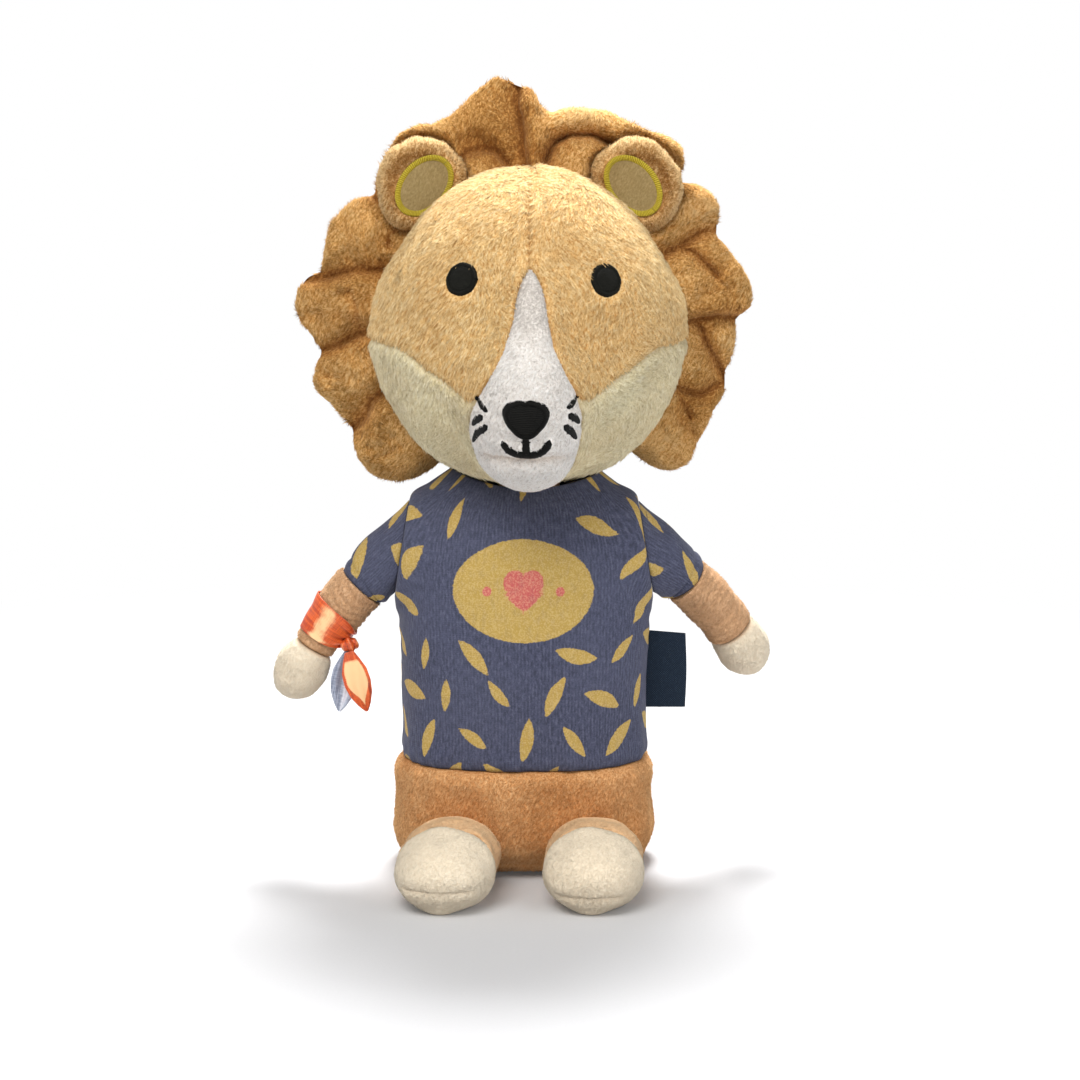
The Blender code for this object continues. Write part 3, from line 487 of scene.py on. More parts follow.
@dataclass(frozen=True)
class Pile:
    """Short nap of a plush cloth, as many small closed tufts that lie along it."""

    count: int
    length: float = 0.0022
    width: float = 0.00042
    lean: float = 24.0
    stray: float = 0.55
    seed: int = 5

    def grow(
        self, cloth: Surface, nap: Nap, keep: Optional[Callable[[Array], Array]] = None
    ) -> Surface:
        """Tufts over a cloth, each a tip over three points at its foot.

        The tip is at p + length (cos(lean) t + sin(lean) n) for a place p on the cloth, its
        outward direction n and the direction t of the nap, turned a little at random.

        Args:
            cloth: the surface that the tufts stand on.
            nap: gives the direction of the nap from places and outward directions.
            keep: gives the chance from 0 to 1 that a place has a tuft.

        Returns:
            One surface of all tufts, with the cloth's values, half its painted crease shade, and a tone of
            their own: random, with painted shade at the roots and painted light at the tips.
        """
        draw = np.random.default_rng(self.seed)
        cloth.turn_outward()
        faces = cloth.triangles()
        corners = cloth.points[faces]
        across = np.cross(corners[:, 1] - corners[:, 0], corners[:, 2] - corners[:, 0])
        area = np.linalg.norm(across, axis=1)
        if keep is not None:
            area = area * keep(corners.mean(axis=1))
        if "crease" in cloth.values:
            area = area * np.clip(1 - 1.5 * cloth.values["crease"][faces].mean(axis=1), 0.01, 1)
        pick = draw.choice(len(faces), self.count, p=area / area.sum())
        one, two = draw.uniform(size=(2, self.count))
        over = one + two > 1
        one, two = np.where(over, 1 - one, one), np.where(over, 1 - two, two)
        weight = np.stack([1 - one - two, one, two], axis=-1)
        place = (corners[pick] * weight[..., None]).sum(axis=1)
        out = unit((cloth.normals()[faces[pick]] * weight[..., None]).sum(axis=1))
        heading = nap(place, out)
        heading = unit(heading - out * (heading * out).sum(-1, keepdims=True))
        side = np.cross(out, heading)
        turn = draw.normal(0, self.stray, self.count)[:, None]
        heading = heading * np.cos(turn) + side * np.sin(turn)
        side = np.cross(out, heading)
        lean = np.radians(self.lean * draw.uniform(0.45, 1.5, self.count))[:, None]
        length = self.length * draw.uniform(0.6, 1.3, self.count)[:, None]
        if "crease" in cloth.values:
            tucked = (cloth.values["crease"][faces[pick]] * weight).sum(axis=1)
            length = length * (1 - 0.6 * np.clip(tucked, 0, 1))[:, None]
        width = self.width * draw.uniform(0.7, 1.35, self.count)[:, None] / 2
        foot = place - out * width * 0.6
        tip = place + length * (heading * np.cos(lean) + out * np.sin(lean))
        back = foot - heading * width + out * width * 1.6
        points = np.stack([foot + side * width, foot - side * width, back, tip], axis=1)
        points[..., 2] = np.maximum(points[..., 2], 0.0)
        base = np.arange(self.count)[:, None, None] * 4
        shape = np.array([[0, 1, 2], [0, 3, 1], [1, 3, 2], [2, 3, 0]])
        tris = (base + shape[None]).reshape(-1, 3)
        tufts = Surface(points.reshape(-1, 3), np.zeros((0, 4), np.int64), tris)
        # The tufts take the cloth's values, and half its painted crease shade.
        for key, value in cloth.values.items():
            held = (value[faces[pick]] * weight).sum(axis=1)
            tufts.values[key] = np.repeat(held * (0.5 if key == "crease" else 1.0), 4)
        # Random tone per tuft, painted shade at its foot and painted light at its tip, added to the cloth's
        # own painted light and shade.
        shade = np.repeat(draw.normal(0, 0.62, self.count), 4).reshape(-1, 4)
        shade = shade + np.array([-0.55, -0.55, -0.2, 0.75])
        tufts.values["shade"] = shade.ravel() + tufts.values.get("shade", 0.0)
        soft = unit(out + draw.normal(0, 0.11, (self.count, 3)))
        tufts.normals_set = np.repeat(soft, 4, axis=0)
        return tufts


# Materials


class Value:
    """An output in a material, with arithmetic that adds Math nodes."""

    def __init__(self, nodes: "Nodes", socket: bpy.types.NodeSocket) -> None:
        """Hold the socket and the material that it belongs to."""
        self.nodes = nodes
        self.socket = socket

    def _math(self, operation: str, first: "Number", second: "Number") -> "Value":
        """A Math node on two numbers or values."""
        return self.nodes.add("ShaderNodeMath", {"operation": operation}, {0: first, 1: second})

    def __add__(self, other: "Number") -> "Value":
        """Sum."""
        return self._math("ADD", self, other)

    __radd__ = __add__

    def __sub__(self, other: "Number") -> "Value":
        """Difference."""
        return self._math("SUBTRACT", self, other)

    def __rsub__(self, other: "Number") -> "Value":
        """Difference from a number."""
        return self._math("SUBTRACT", other, self)

    def __mul__(self, other: "Number") -> "Value":
        """Product."""
        return self._math("MULTIPLY", self, other)

    __rmul__ = __mul__

    def wave(self) -> "Value":
        """Sine."""
        return self._math("SINE", self, 0.0)

    def most(self, other: "Number") -> "Value":
        """The larger of two."""
        return self._math("MAXIMUM", self, other)

    def step(self, low: float, high: float) -> "Value":
        """Smooth step from 0 at low to 1 at high, which may be the smaller of the two."""
        return self.nodes.add(
            "ShaderNodeMapRange",
            {"interpolation_type": "SMOOTHSTEP", "clamp": True},
            {"Value": self, "From Min": low, "From Max": high, "To Min": 0.0, "To Max": 1.0},
        )


Number = Union[float, Value]
Colour = Triple
Tone = Union[Colour, Value]


class Nodes:
    """The nodes of one material, or of the world, round its main shader."""

    def __init__(self, name: str, world: bool = False) -> None:
        """Start a material or a world.

        Args:
            name: its name.
            world: whether it is a world.
        """
        self.material = (bpy.data.worlds if world else bpy.data.materials).new(name)
        self.material.use_nodes = True
        self.tree = self.material.node_tree
        self.shader = self.tree.nodes["Background" if world else "Principled BSDF"]

    def add(self, kind: str, settings: dict, inputs: dict, output: Union[int, str] = 0) -> Value:
        """Add a node.

        Args:
            kind: Blender's name of the node's type.
            settings: what is set on the node itself, before its inputs.
            inputs: numbers, colours or values by the input's name or place.
            output: name or place of the output that is wanted.

        Returns:
            That output.
        """
        node = self.tree.nodes.new(kind)
        for key, value in settings.items():
            setattr(node, key, value)
        for key, value in inputs.items():
            if isinstance(value, Value):
                self.tree.links.new(value.socket, node.inputs[key])
            else:
                node.inputs[key].default_value = value
        return Value(self, node.outputs[output])

    def place(self, scale: Sequence[float] = (1, 1, 1), turn: Sequence[float] = (0, 0, 0)) -> Value:
        """Object coordinates in metres, turned and scaled.

        Args:
            scale: scale along each axis.
            turn: turn about each axis, in radians.

        Returns:
            The coordinates.
        """
        where = self.add("ShaderNodeTexCoord", {}, {}, "Object")
        inputs = {"Vector": where, "Rotation": tuple(turn), "Scale": tuple(1 / s for s in scale)}
        return self.add("ShaderNodeMapping", {"vector_type": "TEXTURE"}, inputs)

    def cloth(self, scale: Sequence[float] = (1, 1, 1)) -> Value:
        """The piece's own UV in metres, scaled."""
        where = self.add("ShaderNodeTexCoord", {}, {}, "UV")
        return self.add("ShaderNodeMapping", {}, {"Vector": where, "Scale": tuple(scale)})

    def held(self, name: str) -> Value:
        """A value that the mesh holds at its points."""
        return self.add("ShaderNodeAttribute", {"attribute_name": name}, {}, "Fac")

    def noise(self, where: Value, scale: float, detail: float = 2.0, rough: float = 0.55) -> Value:
        """Cloudy noise from 0 to 1."""
        inputs = {"Vector": where, "Scale": scale, "Detail": detail, "Roughness": rough}
        return self.add("ShaderNodeTexNoise", {}, inputs)

    def mix(self, share: Number, first: Tone, second: Tone, blend: str = "MIX") -> Value:
        """Blend of two colours.

        Args:
            share: how much of the second there is.
            first: the colour at 0.
            second: the colour at 1.
            blend: Blender's name of the way they blend.

        Returns:
            The colour.
        """
        inputs = {0: share}
        for key, colour in ((6, first), (7, second)):
            inputs[key] = colour if isinstance(colour, Value) else (*colour, 1.0)
        settings = {"data_type": "RGBA", "blend_type": blend}
        return self.add("ShaderNodeMix", settings, inputs, 2)

    def darker(self, share: Number, colour: Value, tint: Colour) -> Value:
        """A colour taken towards its product with a tint."""
        return self.mix(share, colour, self.mix(1.0, colour, tint, "MULTIPLY"))

    def bump(
        self, height: Value, depth: float, strength: float = 1.0, under: Optional[Value] = None
    ) -> Value:
        """Bump from a height of 0 to 1 that stands for a depth in metres, over another's.

        Args:
            height: the height.
            depth: the depth in metres.
            strength: how much of it counts.
            under: normal that it is added to.

        Returns:
            The normal.
        """
        inputs: dict = {"Strength": strength, "Distance": depth, "Height": height}
        if under is not None:
            inputs["Normal"] = under
        return self.add("ShaderNodeBump", {}, inputs)

    def finish(self, plain: dict[str, Union[float, Colour]], varied: dict[str, Value]) -> Material:
        """Set the shader.

        Args:
            plain: what is the same all over, by the shader's input.
            varied: what changes over the surface, by the shader's input.

        Returns:
            The material.
        """
        for key, value in plain.items():
            if isinstance(value, tuple):
                value = (*value, 1.0)
            self.shader.inputs[key].default_value = value
        for key, value in varied.items():
            self.tree.links.new(value.socket, self.shader.inputs[key])
        return self.material


@dataclass(frozen=True)
class Plush:
    """Plush cloth with a short nap: streaks along the nap, painted shade at the roots, a soft sheen."""

    name: str
    deep: Colour
    body: Colour
    light: Colour
    second: Optional[tuple[Colour, Colour, Colour]] = None
    streak: float = 1.0
    nap: float = 1150.0
    depth: float = 0.0006
    patch: float = 0.45
    sheen: float = 0.55
    tuft: float = 0.20

    def material(self) -> Material:
        """The cloth's material, with the second colours below the cheek's seam."""
        nodes = Nodes(self.name)
        where = nodes.place()
        turned = nodes.place((1.0, 1.0, 0.42), (0.25, 0.5, 0.0))
        streak = nodes.noise(turned, self.nap, 2.0, 0.6)
        fine = nodes.noise(where, self.nap * 2.2, 2.0, 0.6)
        patch = nodes.noise(where, 34.0, 2.0, 0.5).step(0.35, 0.68)
        # The held shade is a random tone per tuft with painted shade at its root and painted light at its
        # tip, plus painted light and shade set on the mane, ears and seat, and a darker top on the white
        # panel.
        shade = nodes.held("shade")
        tone = (streak * 0.62 + fine * 0.38).step(0.30, 0.70) * self.streak
        tone = tone + shade * self.tuft + (1 - self.streak) * 0.5
        low, high = tone.step(0.0, 0.55), tone.step(0.45, 1.1)
        colour = nodes.mix(high, nodes.mix(low, self.deep, self.body), self.light)
        if self.second is not None:
            deep, body, light = self.second
            other = nodes.mix(high, nodes.mix(low, deep, body), light)
            colour = nodes.mix(nodes.held("cheek").step(0.0003, -0.0003), colour, other)
        dim = nodes.mix(1.0, colour, (0.80, 0.70, 0.60), "MULTIPLY")
        colour = nodes.mix(patch * self.patch, colour, dim)
        # Painted shade: the colour is darkened where the mesh holds crease, in seams, folds and tucks.
        crease = nodes.held("crease")
        colour = nodes.darker(crease * 0.8, colour, (0.40, 0.29, 0.20))
        lump = nodes.noise(where, 190.0, 2.0, 0.5)
        normal = nodes.bump(lump, 0.0007, 0.5)
        normal = nodes.bump(streak * 0.7 + fine * 0.3, self.depth, 0.85, normal)
        rough = 0.86 + streak * 0.12
        plain = {
            "Sheen Weight": self.sheen,
            "Sheen Roughness": 0.42,
            "Sheen Tint": self.light,
            "Specular IOR Level": 0.18,
        }
        return nodes.finish(plain, {"Base Color": colour, "Roughness": rough, "Normal": normal})


@dataclass(frozen=True)
class Jersey:
    """Knitted shirt cloth: fine wales, a heathered blue, and the printed dabs and badge."""

    name: str
    deep: Colour = (0.042, 0.046, 0.074)
    body: Colour = (0.064, 0.070, 0.116)
    light: Colour = (0.102, 0.110, 0.168)
    mustard: Colour = (0.455, 0.305, 0.074)
    coral: Colour = (0.53, 0.105, 0.105)
    wale: float = 0.00105

    def material(self) -> Material:
        """The knit, with the print where the held distances are below zero."""
        nodes = Nodes(self.name)
        where = nodes.place()
        wales = nodes.noise(nodes.cloth((1.0, 0.30, 1.0)), 1150.0, 2.0, 0.6)
        fine = nodes.noise(where, 1700.0, 2.0, 0.6)
        across = nodes.add("ShaderNodeSeparateXYZ", {}, {"Vector": nodes.cloth()}, "X")
        along = nodes.add("ShaderNodeSeparateXYZ", {}, {"Vector": nodes.cloth()}, "Y")
        rib = (across * (2 * math.pi / self.wale)).wave() * 0.5 + 0.5
        loop = (along * (2 * math.pi / (self.wale * 0.72))).wave() * 0.5 + 0.5
        tone = wales * 0.55 + fine * 0.38 + rib * 0.07
        colour = nodes.mix(tone.step(0.38, 0.52), self.deep, self.body)
        colour = nodes.mix(tone.step(0.50, 0.66), colour, self.light)
        cloud = nodes.noise(where, 30.0, 2.0, 0.5).step(0.3, 0.7)
        colour = nodes.mix(cloud * 0.25, colour, self.light)
        ragged = (nodes.noise(where, 900.0, 2.0, 0.6) - 0.5) * 0.0009
        dry = nodes.noise(nodes.cloth((1.0, 0.3, 1.0)), 620.0, 3.0, 0.65)
        for name, paint in (("mustard", self.mustard), ("coral", self.coral)):
            edge = (nodes.held(name) + ragged).step(0.00022, -0.00022)
            pale = nodes.mix(1.0, (1.0, 1.0, 1.0), paint, "MULTIPLY")
            ink = nodes.mix(dry.step(0.30, 0.55), nodes.mix(0.14, paint, self.body), pale)
            ink = nodes.mix(fine.step(0.42, 0.62) * 0.2, ink, (0.9, 0.72, 0.42))
            colour = nodes.mix(edge * 0.96, colour, ink)
        # Painted shade: the knit is darkened where the mesh holds crease.
        crease = nodes.held("crease")
        colour = nodes.darker(crease * 0.6, colour, (0.4, 0.4, 0.42))
        height = rib * 0.28 + loop * 0.22 + fine * 0.5
        normal = nodes.bump(nodes.noise(where, 160.0, 2.0, 0.5), 0.0008, 0.5)
        normal = nodes.bump(height, 0.00022, 0.9, normal)
        rough = 0.82 + fine * 0.12
        plain = {"Sheen Weight": 0.07, "Sheen Roughness": 0.5, "Specular IOR Level": 0.15}
        return nodes.finish(plain, {"Base Color": colour, "Roughness": rough, "Normal": normal})


@dataclass(frozen=True)
class Satin:
    """Woven ribbon: shiny floats along it, and a lighter side where the light sits."""

    name: str
    deep: Colour
    body: Colour
    light: Colour
    stripe: float = 900.0

    def material(self) -> Material:
        """The satin, lighter where the mesh holds gleam."""
        nodes = Nodes(self.name)
        floats = nodes.noise(nodes.cloth((1.0, 0.06, 1.0)), self.stripe, 2.0, 0.6)
        weft = nodes.noise(nodes.cloth((0.12, 1.0, 1.0)), 2600.0, 1.0, 0.5)
        patch = nodes.noise(nodes.place(), 330.0, 3.0, 0.6)
        colour = nodes.mix((floats * 0.7 + weft * 0.3).step(0.36, 0.62), self.deep, self.body)
        gleam = nodes.held("gleam") + (patch - 0.5) * 0.7 + (weft - 0.5) * 0.3
        colour = nodes.mix(gleam.step(0.25, 0.85), colour, self.light)
        # Painted shade: the satin is darkened where the mesh holds crease, in its folds.
        colour = nodes.darker(nodes.held("crease") * 0.7, colour, (0.4, 0.3, 0.3))
        normal = nodes.bump(weft * 0.5 + floats * 0.5, 0.00012, 0.6)
        rough = 0.34 + floats * 0.14
        plain = {"Specular IOR Level": 0.55, "Sheen Weight": 0.1, "Sheen Roughness": 0.4}
        return nodes.finish(plain, {"Base Color": colour, "Roughness": rough, "Normal": normal})


@dataclass(frozen=True)
class Thread:
    """Satin-stitched embroidery: threads side by side, each with its own gleam."""

    name: str
    deep: Colour
    body: Colour
    light: Colour
    pitch: float = 0.00042
    sheen: float = 0.15

    def material(self) -> Material:
        """The threads, which run across the value that the mesh holds as run."""
        nodes = Nodes(self.name)
        run = nodes.held("run")
        where = nodes.place()
        wander = nodes.noise(where, 380.0, 2.0, 0.5)
        ridge = ((run + wander * 0.0006) * (2 * math.pi / self.pitch)).wave() * 0.5 + 0.5
        fibre = nodes.noise(where, 3200.0, 2.0, 0.6)
        colour = nodes.mix((ridge * 0.6 + fibre * 0.4).step(0.25, 0.7), self.deep, self.body)
        colour = nodes.mix((ridge * 0.5 + fibre * 0.5).step(0.62, 0.86) * 0.6, colour, self.light)
        normal = nodes.bump(ridge * 0.75 + fibre * 0.25, 0.00022, 0.9)
        rough = 0.5 + fibre * 0.2
        plain = {"Specular IOR Level": 0.10, "Sheen Weight": self.sheen, "Sheen Roughness": 0.45}
        return nodes.finish(plain, {"Base Color": colour, "Roughness": rough, "Normal": normal})


@dataclass(frozen=True)
class Weave:
    """Plain-woven tape of the folded label."""

    name: str
    deep: Colour = (0.0030, 0.008, 0.018)
    body: Colour = (0.0075, 0.018, 0.035)
    light: Colour = (0.030, 0.050, 0.078)
    pitch: float = 0.00085

    def material(self) -> Material:
        """Warp and weft as two crossed rows of threads."""
        nodes = Nodes(self.name)
        across = nodes.add("ShaderNodeSeparateXYZ", {}, {"Vector": nodes.cloth()}, "X")
        along = nodes.add("ShaderNodeSeparateXYZ", {}, {"Vector": nodes.cloth()}, "Y")
        warp = (across * (2 * math.pi / self.pitch)).wave()
        weft = (along * (2 * math.pi / self.pitch)).wave()
        over = warp * weft * 0.5 + 0.5
        fibre = nodes.noise(nodes.place(), 2600.0, 2.0, 0.6)
        colour = nodes.mix(over.step(0.2, 0.8), self.deep, self.body)
        colour = nodes.mix((fibre * 0.6 + over * 0.4).step(0.52, 0.8), colour, self.light)
        normal = nodes.bump(over * 0.7 + fibre * 0.3, 0.00012, 0.8)
        rough = 0.7 + fibre * 0.2
        plain = {"Specular IOR Level": 0.2, "Sheen Weight": 0.05, "Sheen Roughness": 0.5}
        return nodes.finish(plain, {"Base Color": colour, "Roughness": rough, "Normal": normal})


@dataclass(frozen=True)
class Palette:
    """The toy's finishes, each made once."""

    tan: Material
    mane: Material
    ear: Material
    white: Material
    cream: Material
    velour: Material
    seat: Material
    band: Material
    lining: Material
    jersey: Material
    black: Material
    yellow: Material
    nose: Material
    orange: Material
    blue: Material
    tape: Material

    @classmethod
    def mixed(cls) -> "Palette":
        """Make every finish."""
        cream_cheek = ((0.64, 0.55, 0.32), (0.83, 0.74, 0.48), (0.93, 0.87, 0.66))
        return cls(
            tan=Plush(
                "tan_plush", (0.56, 0.29, 0.090), (0.81, 0.53, 0.22), (0.97, 0.76, 0.43), cream_cheek,
                patch=0.42, tuft=0.31
            ).material(),
            mane=Plush(
                "mane_plush", (0.33, 0.140, 0.031), (0.635, 0.328, 0.093), (0.93, 0.62, 0.28), patch=0.30,
                sheen=0.4, tuft=0.16
            ).material(),
            ear=Plush(
                "ear_plush", (0.32, 0.145, 0.040), (0.56, 0.305, 0.105), (0.92, 0.66, 0.34), patch=0.25,
                sheen=0.5, tuft=0.24
            ).material(),
            white=Plush(
                "white_plush", (0.62, 0.575, 0.53), (0.93, 0.88, 0.825), (0.985, 0.965, 0.935),
                patch=0.16, sheen=0.2, nap=1200.0, tuft=0.20
            ).material(),
            cream=Plush(
                "cream_velour", (0.78, 0.64, 0.455), (0.90, 0.785, 0.61), (0.96, 0.90, 0.76), nap=1700.0,
                depth=0.0002, patch=0.12, sheen=0.3, streak=0.5, tuft=0.08
            ).material(),
            velour=Plush(
                "tan_velour", (0.46, 0.25, 0.125), (0.64, 0.38, 0.205), (0.80, 0.54, 0.34), nap=1500.0,
                depth=0.0003, patch=0.25, streak=0.7, tuft=0.12
            ).material(),
            seat=Plush(
                "seat_plush", (0.47, 0.205, 0.070), (0.71, 0.360, 0.145), (0.90, 0.58, 0.30), nap=1500.0,
                depth=0.0003, patch=0.8, sheen=0.5, streak=0.9, tuft=0.14
            ).material(),
            band=Plush(
                "leg_velour", (0.80, 0.46, 0.225), (0.95, 0.62, 0.345), (0.98, 0.76, 0.50), nap=1700.0,
                depth=0.0002, patch=0.2, streak=0.5, tuft=0.10
            ).material(),
            lining=Plush(
                "ear_velour", (0.20, 0.14, 0.055), (0.28, 0.205, 0.088), (0.42, 0.32, 0.165), nap=1700.0,
                depth=0.0002, patch=0.3, streak=0.6, sheen=0.3
            ).material(),
            jersey=Jersey("shirt_jersey").material(),
            black=Thread(
                "black_thread", (0.002, 0.002, 0.0015), (0.007, 0.007, 0.005), (0.036, 0.036, 0.026),
                sheen=0.0
            ).material(),
            yellow=Thread(
                "yellow_thread", (0.25, 0.185, 0.012), (0.50, 0.39, 0.030), (0.74, 0.62, 0.12)
            ).material(),
            nose=Thread(
                "nose_thread", (0.001, 0.001, 0.001), (0.003, 0.003, 0.002), (0.012, 0.011, 0.009),
                sheen=0.0
            ).material(),
            orange=Satin(
                "orange_satin", (0.46, 0.045, 0.006), (0.80, 0.13, 0.018), (0.98, 0.60, 0.30)
            ).material(),
            blue=Satin(
                "blue_satin", (0.16, 0.19, 0.27), (0.44, 0.49, 0.61), (0.82, 0.86, 0.95), stripe=1500.0
            ).material(),
            tape=Weave("navy_weave").material(),
        )


@dataclass(frozen=True)
class Dresser:
    """Puts finished pieces on the toy's bodies."""

    palette: Palette

    def add(
        self, name: str, surface: Surface, material: Material, body: Body, slot: str,
        nodes: Sequence[str] = (), fill: Optional[float] = None
    ) -> bpy.types.Object:
        """Make a piece of a surface and let it ride on a body.

        Args:
            name: the piece's name.
            surface: its shape in the toy's own frame.
            material: its finish.
            body: what carries it.
            slot: the record's slot that the finish belongs to; not used.
            nodes: the solids that it stands for.
            fill: how tightly it is stuffed, where it is; not used.

        Returns:
            The new object.
        """
        mesh = surface.mesh(name, material)
        piece = bpy.data.objects.new(name, mesh)
        bpy.context.scene.collection.objects.link(piece)
        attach(piece, body.value)
        if nodes:
            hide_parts(*nodes)
        count = len(surface.quads) * 2 + len(surface.tris)
        LOG.info("%s: %d triangles on %s", name, count, body.value)
        return piece


# Head


@dataclass(frozen=True)
class FaceMap:
    """The head's outside, with places on it as lengths sideways and upwards along it."""

    centre: Triple = (0.0018, -0.0020, 0.1953)
    radii: Triple = (0.0570, 0.0520, 0.0565)
    radius: float = 0.05675
    bump: float = 0.0255
    drop: float = 0.0222
    rise_fade: float = 0.0290
    fall_fade: float = 0.0300
    bump_width: float = 0.0410
    widths: Pairs = (
        (-6.0, 0.60), (-2.80, 0.78), (-1.84, 0.94), (-1.02, 1.00), (-0.41, 0.88), (0.20, 0.60),
        (0.82, 0.44), (5.0, 0.44),
    )

    def direction(self, side: Array, rise: Array) -> Array:
        """Direction from the head's middle: the angle from -Y is the length over the radius.

        Args:
            side: places sideways over the face, in metres.
            rise: places upwards over the face.

        Returns:
            Unit vectors.
        """
        length = np.hypot(side, rise)
        angle = length / self.radius
        spread = np.where(length > 1e-9, np.sin(angle) / np.maximum(length, 1e-9), 1 / self.radius)
        return np.stack([side * spread, -np.cos(angle), rise * spread], axis=-1)

    def places(self, ways: Array) -> tuple[Array, Array]:
        """Side and rise of directions, the inverse of direction().

        Args:
            ways: directions from the head's middle.

        Returns:
            Side and rise in metres.
        """
        angle = np.arccos(np.clip(-ways[..., 1], -1, 1))
        length = np.hypot(ways[..., 0], ways[..., 2])
        spread = angle * self.radius / np.maximum(length, 1e-9)
        return ways[..., 0] * spread, ways[..., 2] * spread

    def reach(self, ways: Array) -> Array:
        """Distance to the surface: an ellipsoid, and a muzzle that fades as a bell curve.

        Args:
            ways: directions from the head's middle.

        Returns:
            Distances from the head's middle.
        """
        core = 1 / np.sqrt(((ways / np.array(self.radii)) ** 2).sum(axis=-1))
        side, rise = self.places(ways)
        width = along_table(self.widths, 1, rise / self.drop, 0.16) * self.bump_width / 2
        above = rise + self.drop
        up = (above / self.rise_fade) ** 2
        down = (np.abs(above) / self.fall_fade) ** 3
        fade = np.where(above > 0, up, down)
        return core + self.bump * np.exp(-fade - (side / width) ** 2)

    def point(self, side: Array, rise: Array, lift: Union[float, Array] = 0.0) -> Array:
        """Point over a place on the face, lifted outwards from the head's middle.

        Args:
            side: places sideways over the face, in metres.
            rise: places upwards over the face.
            lift: height over the surface, in metres.

        Returns:
            Points in the toy's frame.
        """
        ways = self.direction(np.asarray(side, float), np.asarray(rise, float))
        far = self.reach(ways) + lift
        return np.array(self.centre) + ways * far[..., None]


# Rise, and the white panel's edge on the toy's right and left, in metres over the face
PANEL_EDGES = (
    (-0.0602, -0.0010, 0.0010), (-0.0590, -0.0060, 0.0050), (-0.0560, -0.0105, 0.0090),
    (-0.0500, -0.0150, 0.0126), (-0.0420, -0.0178, 0.0146), (-0.0328, -0.0190, 0.0158),
    (-0.0272, -0.0196, 0.0166), (-0.0212, -0.0184, 0.0166), (-0.0132, -0.0140, 0.0142),
    (-0.0060, -0.0098, 0.0104), (-0.0004, -0.0074, 0.0080), (0.0072, -0.0054, 0.0070),
    (0.0154, -0.0047, 0.0062), (0.0205, -0.0036, 0.0052), (0.0245, -0.0018, 0.0034),
    (0.0268, -0.0004, 0.0018), (0.0276, 0.0002, 0.0012),
)
# Length from the middle of the face, and the angle below level of the cheek's seam there
CHEEK_SEAM = (
    (0.000, -52.0), (0.0255, -45.0), (0.0368, -24.0), (0.0478, -8.9), (0.0560, -4.7),
    (0.0750, -3.6), (0.1780, -3.0),
)


@dataclass(frozen=True)
class Panel:
    """The white panel from the forehead over the muzzle to the chin."""

    face: FaceMap
    relief: float = 0.0023
    tuck: float = 0.0014
    crease: Pairs = (
        (-0.0172, -0.0368), (-0.0120, -0.0318), (-0.0062, -0.0290), (-0.0004, -0.0282),
        (0.0060, -0.0290), (0.0110, -0.0312), (0.0142, -0.0345),
    )

    def edges(self, rise: Array) -> tuple[Array, Array]:
        """Both edges at heights on the face."""
        return along_table(PANEL_EDGES, 1, rise, 0.0012), along_table(PANEL_EDGES, 2, rise, 0.0012)

    def inside(self, side: Array, rise: Array) -> Array:
        """Rough distance inside the outline, below zero outside it.

        Args:
            side: places sideways over the face, in metres.
            rise: places upwards over the face.

        Returns:
            Distances in metres.
        """
        left, right = self.edges(rise)
        gap = np.minimum(side - left, right - side) * 0.9
        return np.minimum(gap, np.minimum(PANEL_EDGES[-1][0] - rise, rise - PANEL_EDGES[0][0]))

    def lift(self, side: Array, rise: Array) -> Array:
        """Height of the stuffed panel over the head.

        A pillow of relief (1 - e^(-inside / 1.1 mm)) less the tuck, less the fold under the
        mouth, a fold e^(-d / 1.5 mm) deep with the chin swelling under it.

        Args:
            side: places sideways over the face, in metres.
            rise: places upwards over the face.

        Returns:
            Heights over the head, in metres.
        """
        inside = np.maximum(self.inside(side, rise), 0.0)
        height = self.relief * (1 - fade(inside, 0.0011)) - self.tuck
        away, signed, share = stroke_distance(self.crease, side, rise)
        ends = 1 - np.abs(2 * share - 1) ** 4
        height -= 0.0026 * fade(away, 0.0014) * ends
        height += 0.0015 * bell(signed + 0.0045, 0.0045) * ends
        height += 0.0005 * bell(signed - 0.0030, 0.0030) * ends
        beside = np.hypot(side + 0.0006, (rise + 0.0168) * 1.2)
        height -= 0.0003 * bell(beside - 0.0078, 0.0014)
        ways = self.face.direction(side, rise) * 0.055
        return height + 0.00016 * Ripple(0.0060, 11).at(ways)

    def surface(self) -> Surface:
        """The panel as a closed sheet over a grid of height and share of the width.

        Returns:
            The closed sheet, with its creases and shade.
        """
        rise = np.linspace(PANEL_EDGES[-1][0], PANEL_EDGES[0][0], 205)[:, None]
        left, right = self.edges(rise[:, 0])
        share = (1 - np.cos(np.linspace(0, math.pi, 92))) / 2
        share = 0.55 * share + 0.45 * np.linspace(0, 1, 92)
        side = left[:, None] + (right - left)[:, None] * share[None, :]
        rise = np.broadcast_to(rise, side.shape)
        front = self.face.point(side, rise, self.lift(side, rise))
        back = self.face.point(side, rise, -self.tuck - 0.0006)
        # Painted shade in the fold under the mouth and along the panel's tucked edge.
        away, _, share = stroke_distance(self.crease, side, rise)
        crease = fade(away, 0.0012) * (1 - np.abs(2 * share - 1) ** 4) * 0.8
        crease = np.maximum(crease, np.exp(-np.maximum(self.inside(side, rise), 0) / 0.0006) * 0.7)
        shade = 0.55 - 2.4 * ease(-0.001, 0.009, rise)
        return closed_sheet(front, back, {"crease": crease, "shade": shade})


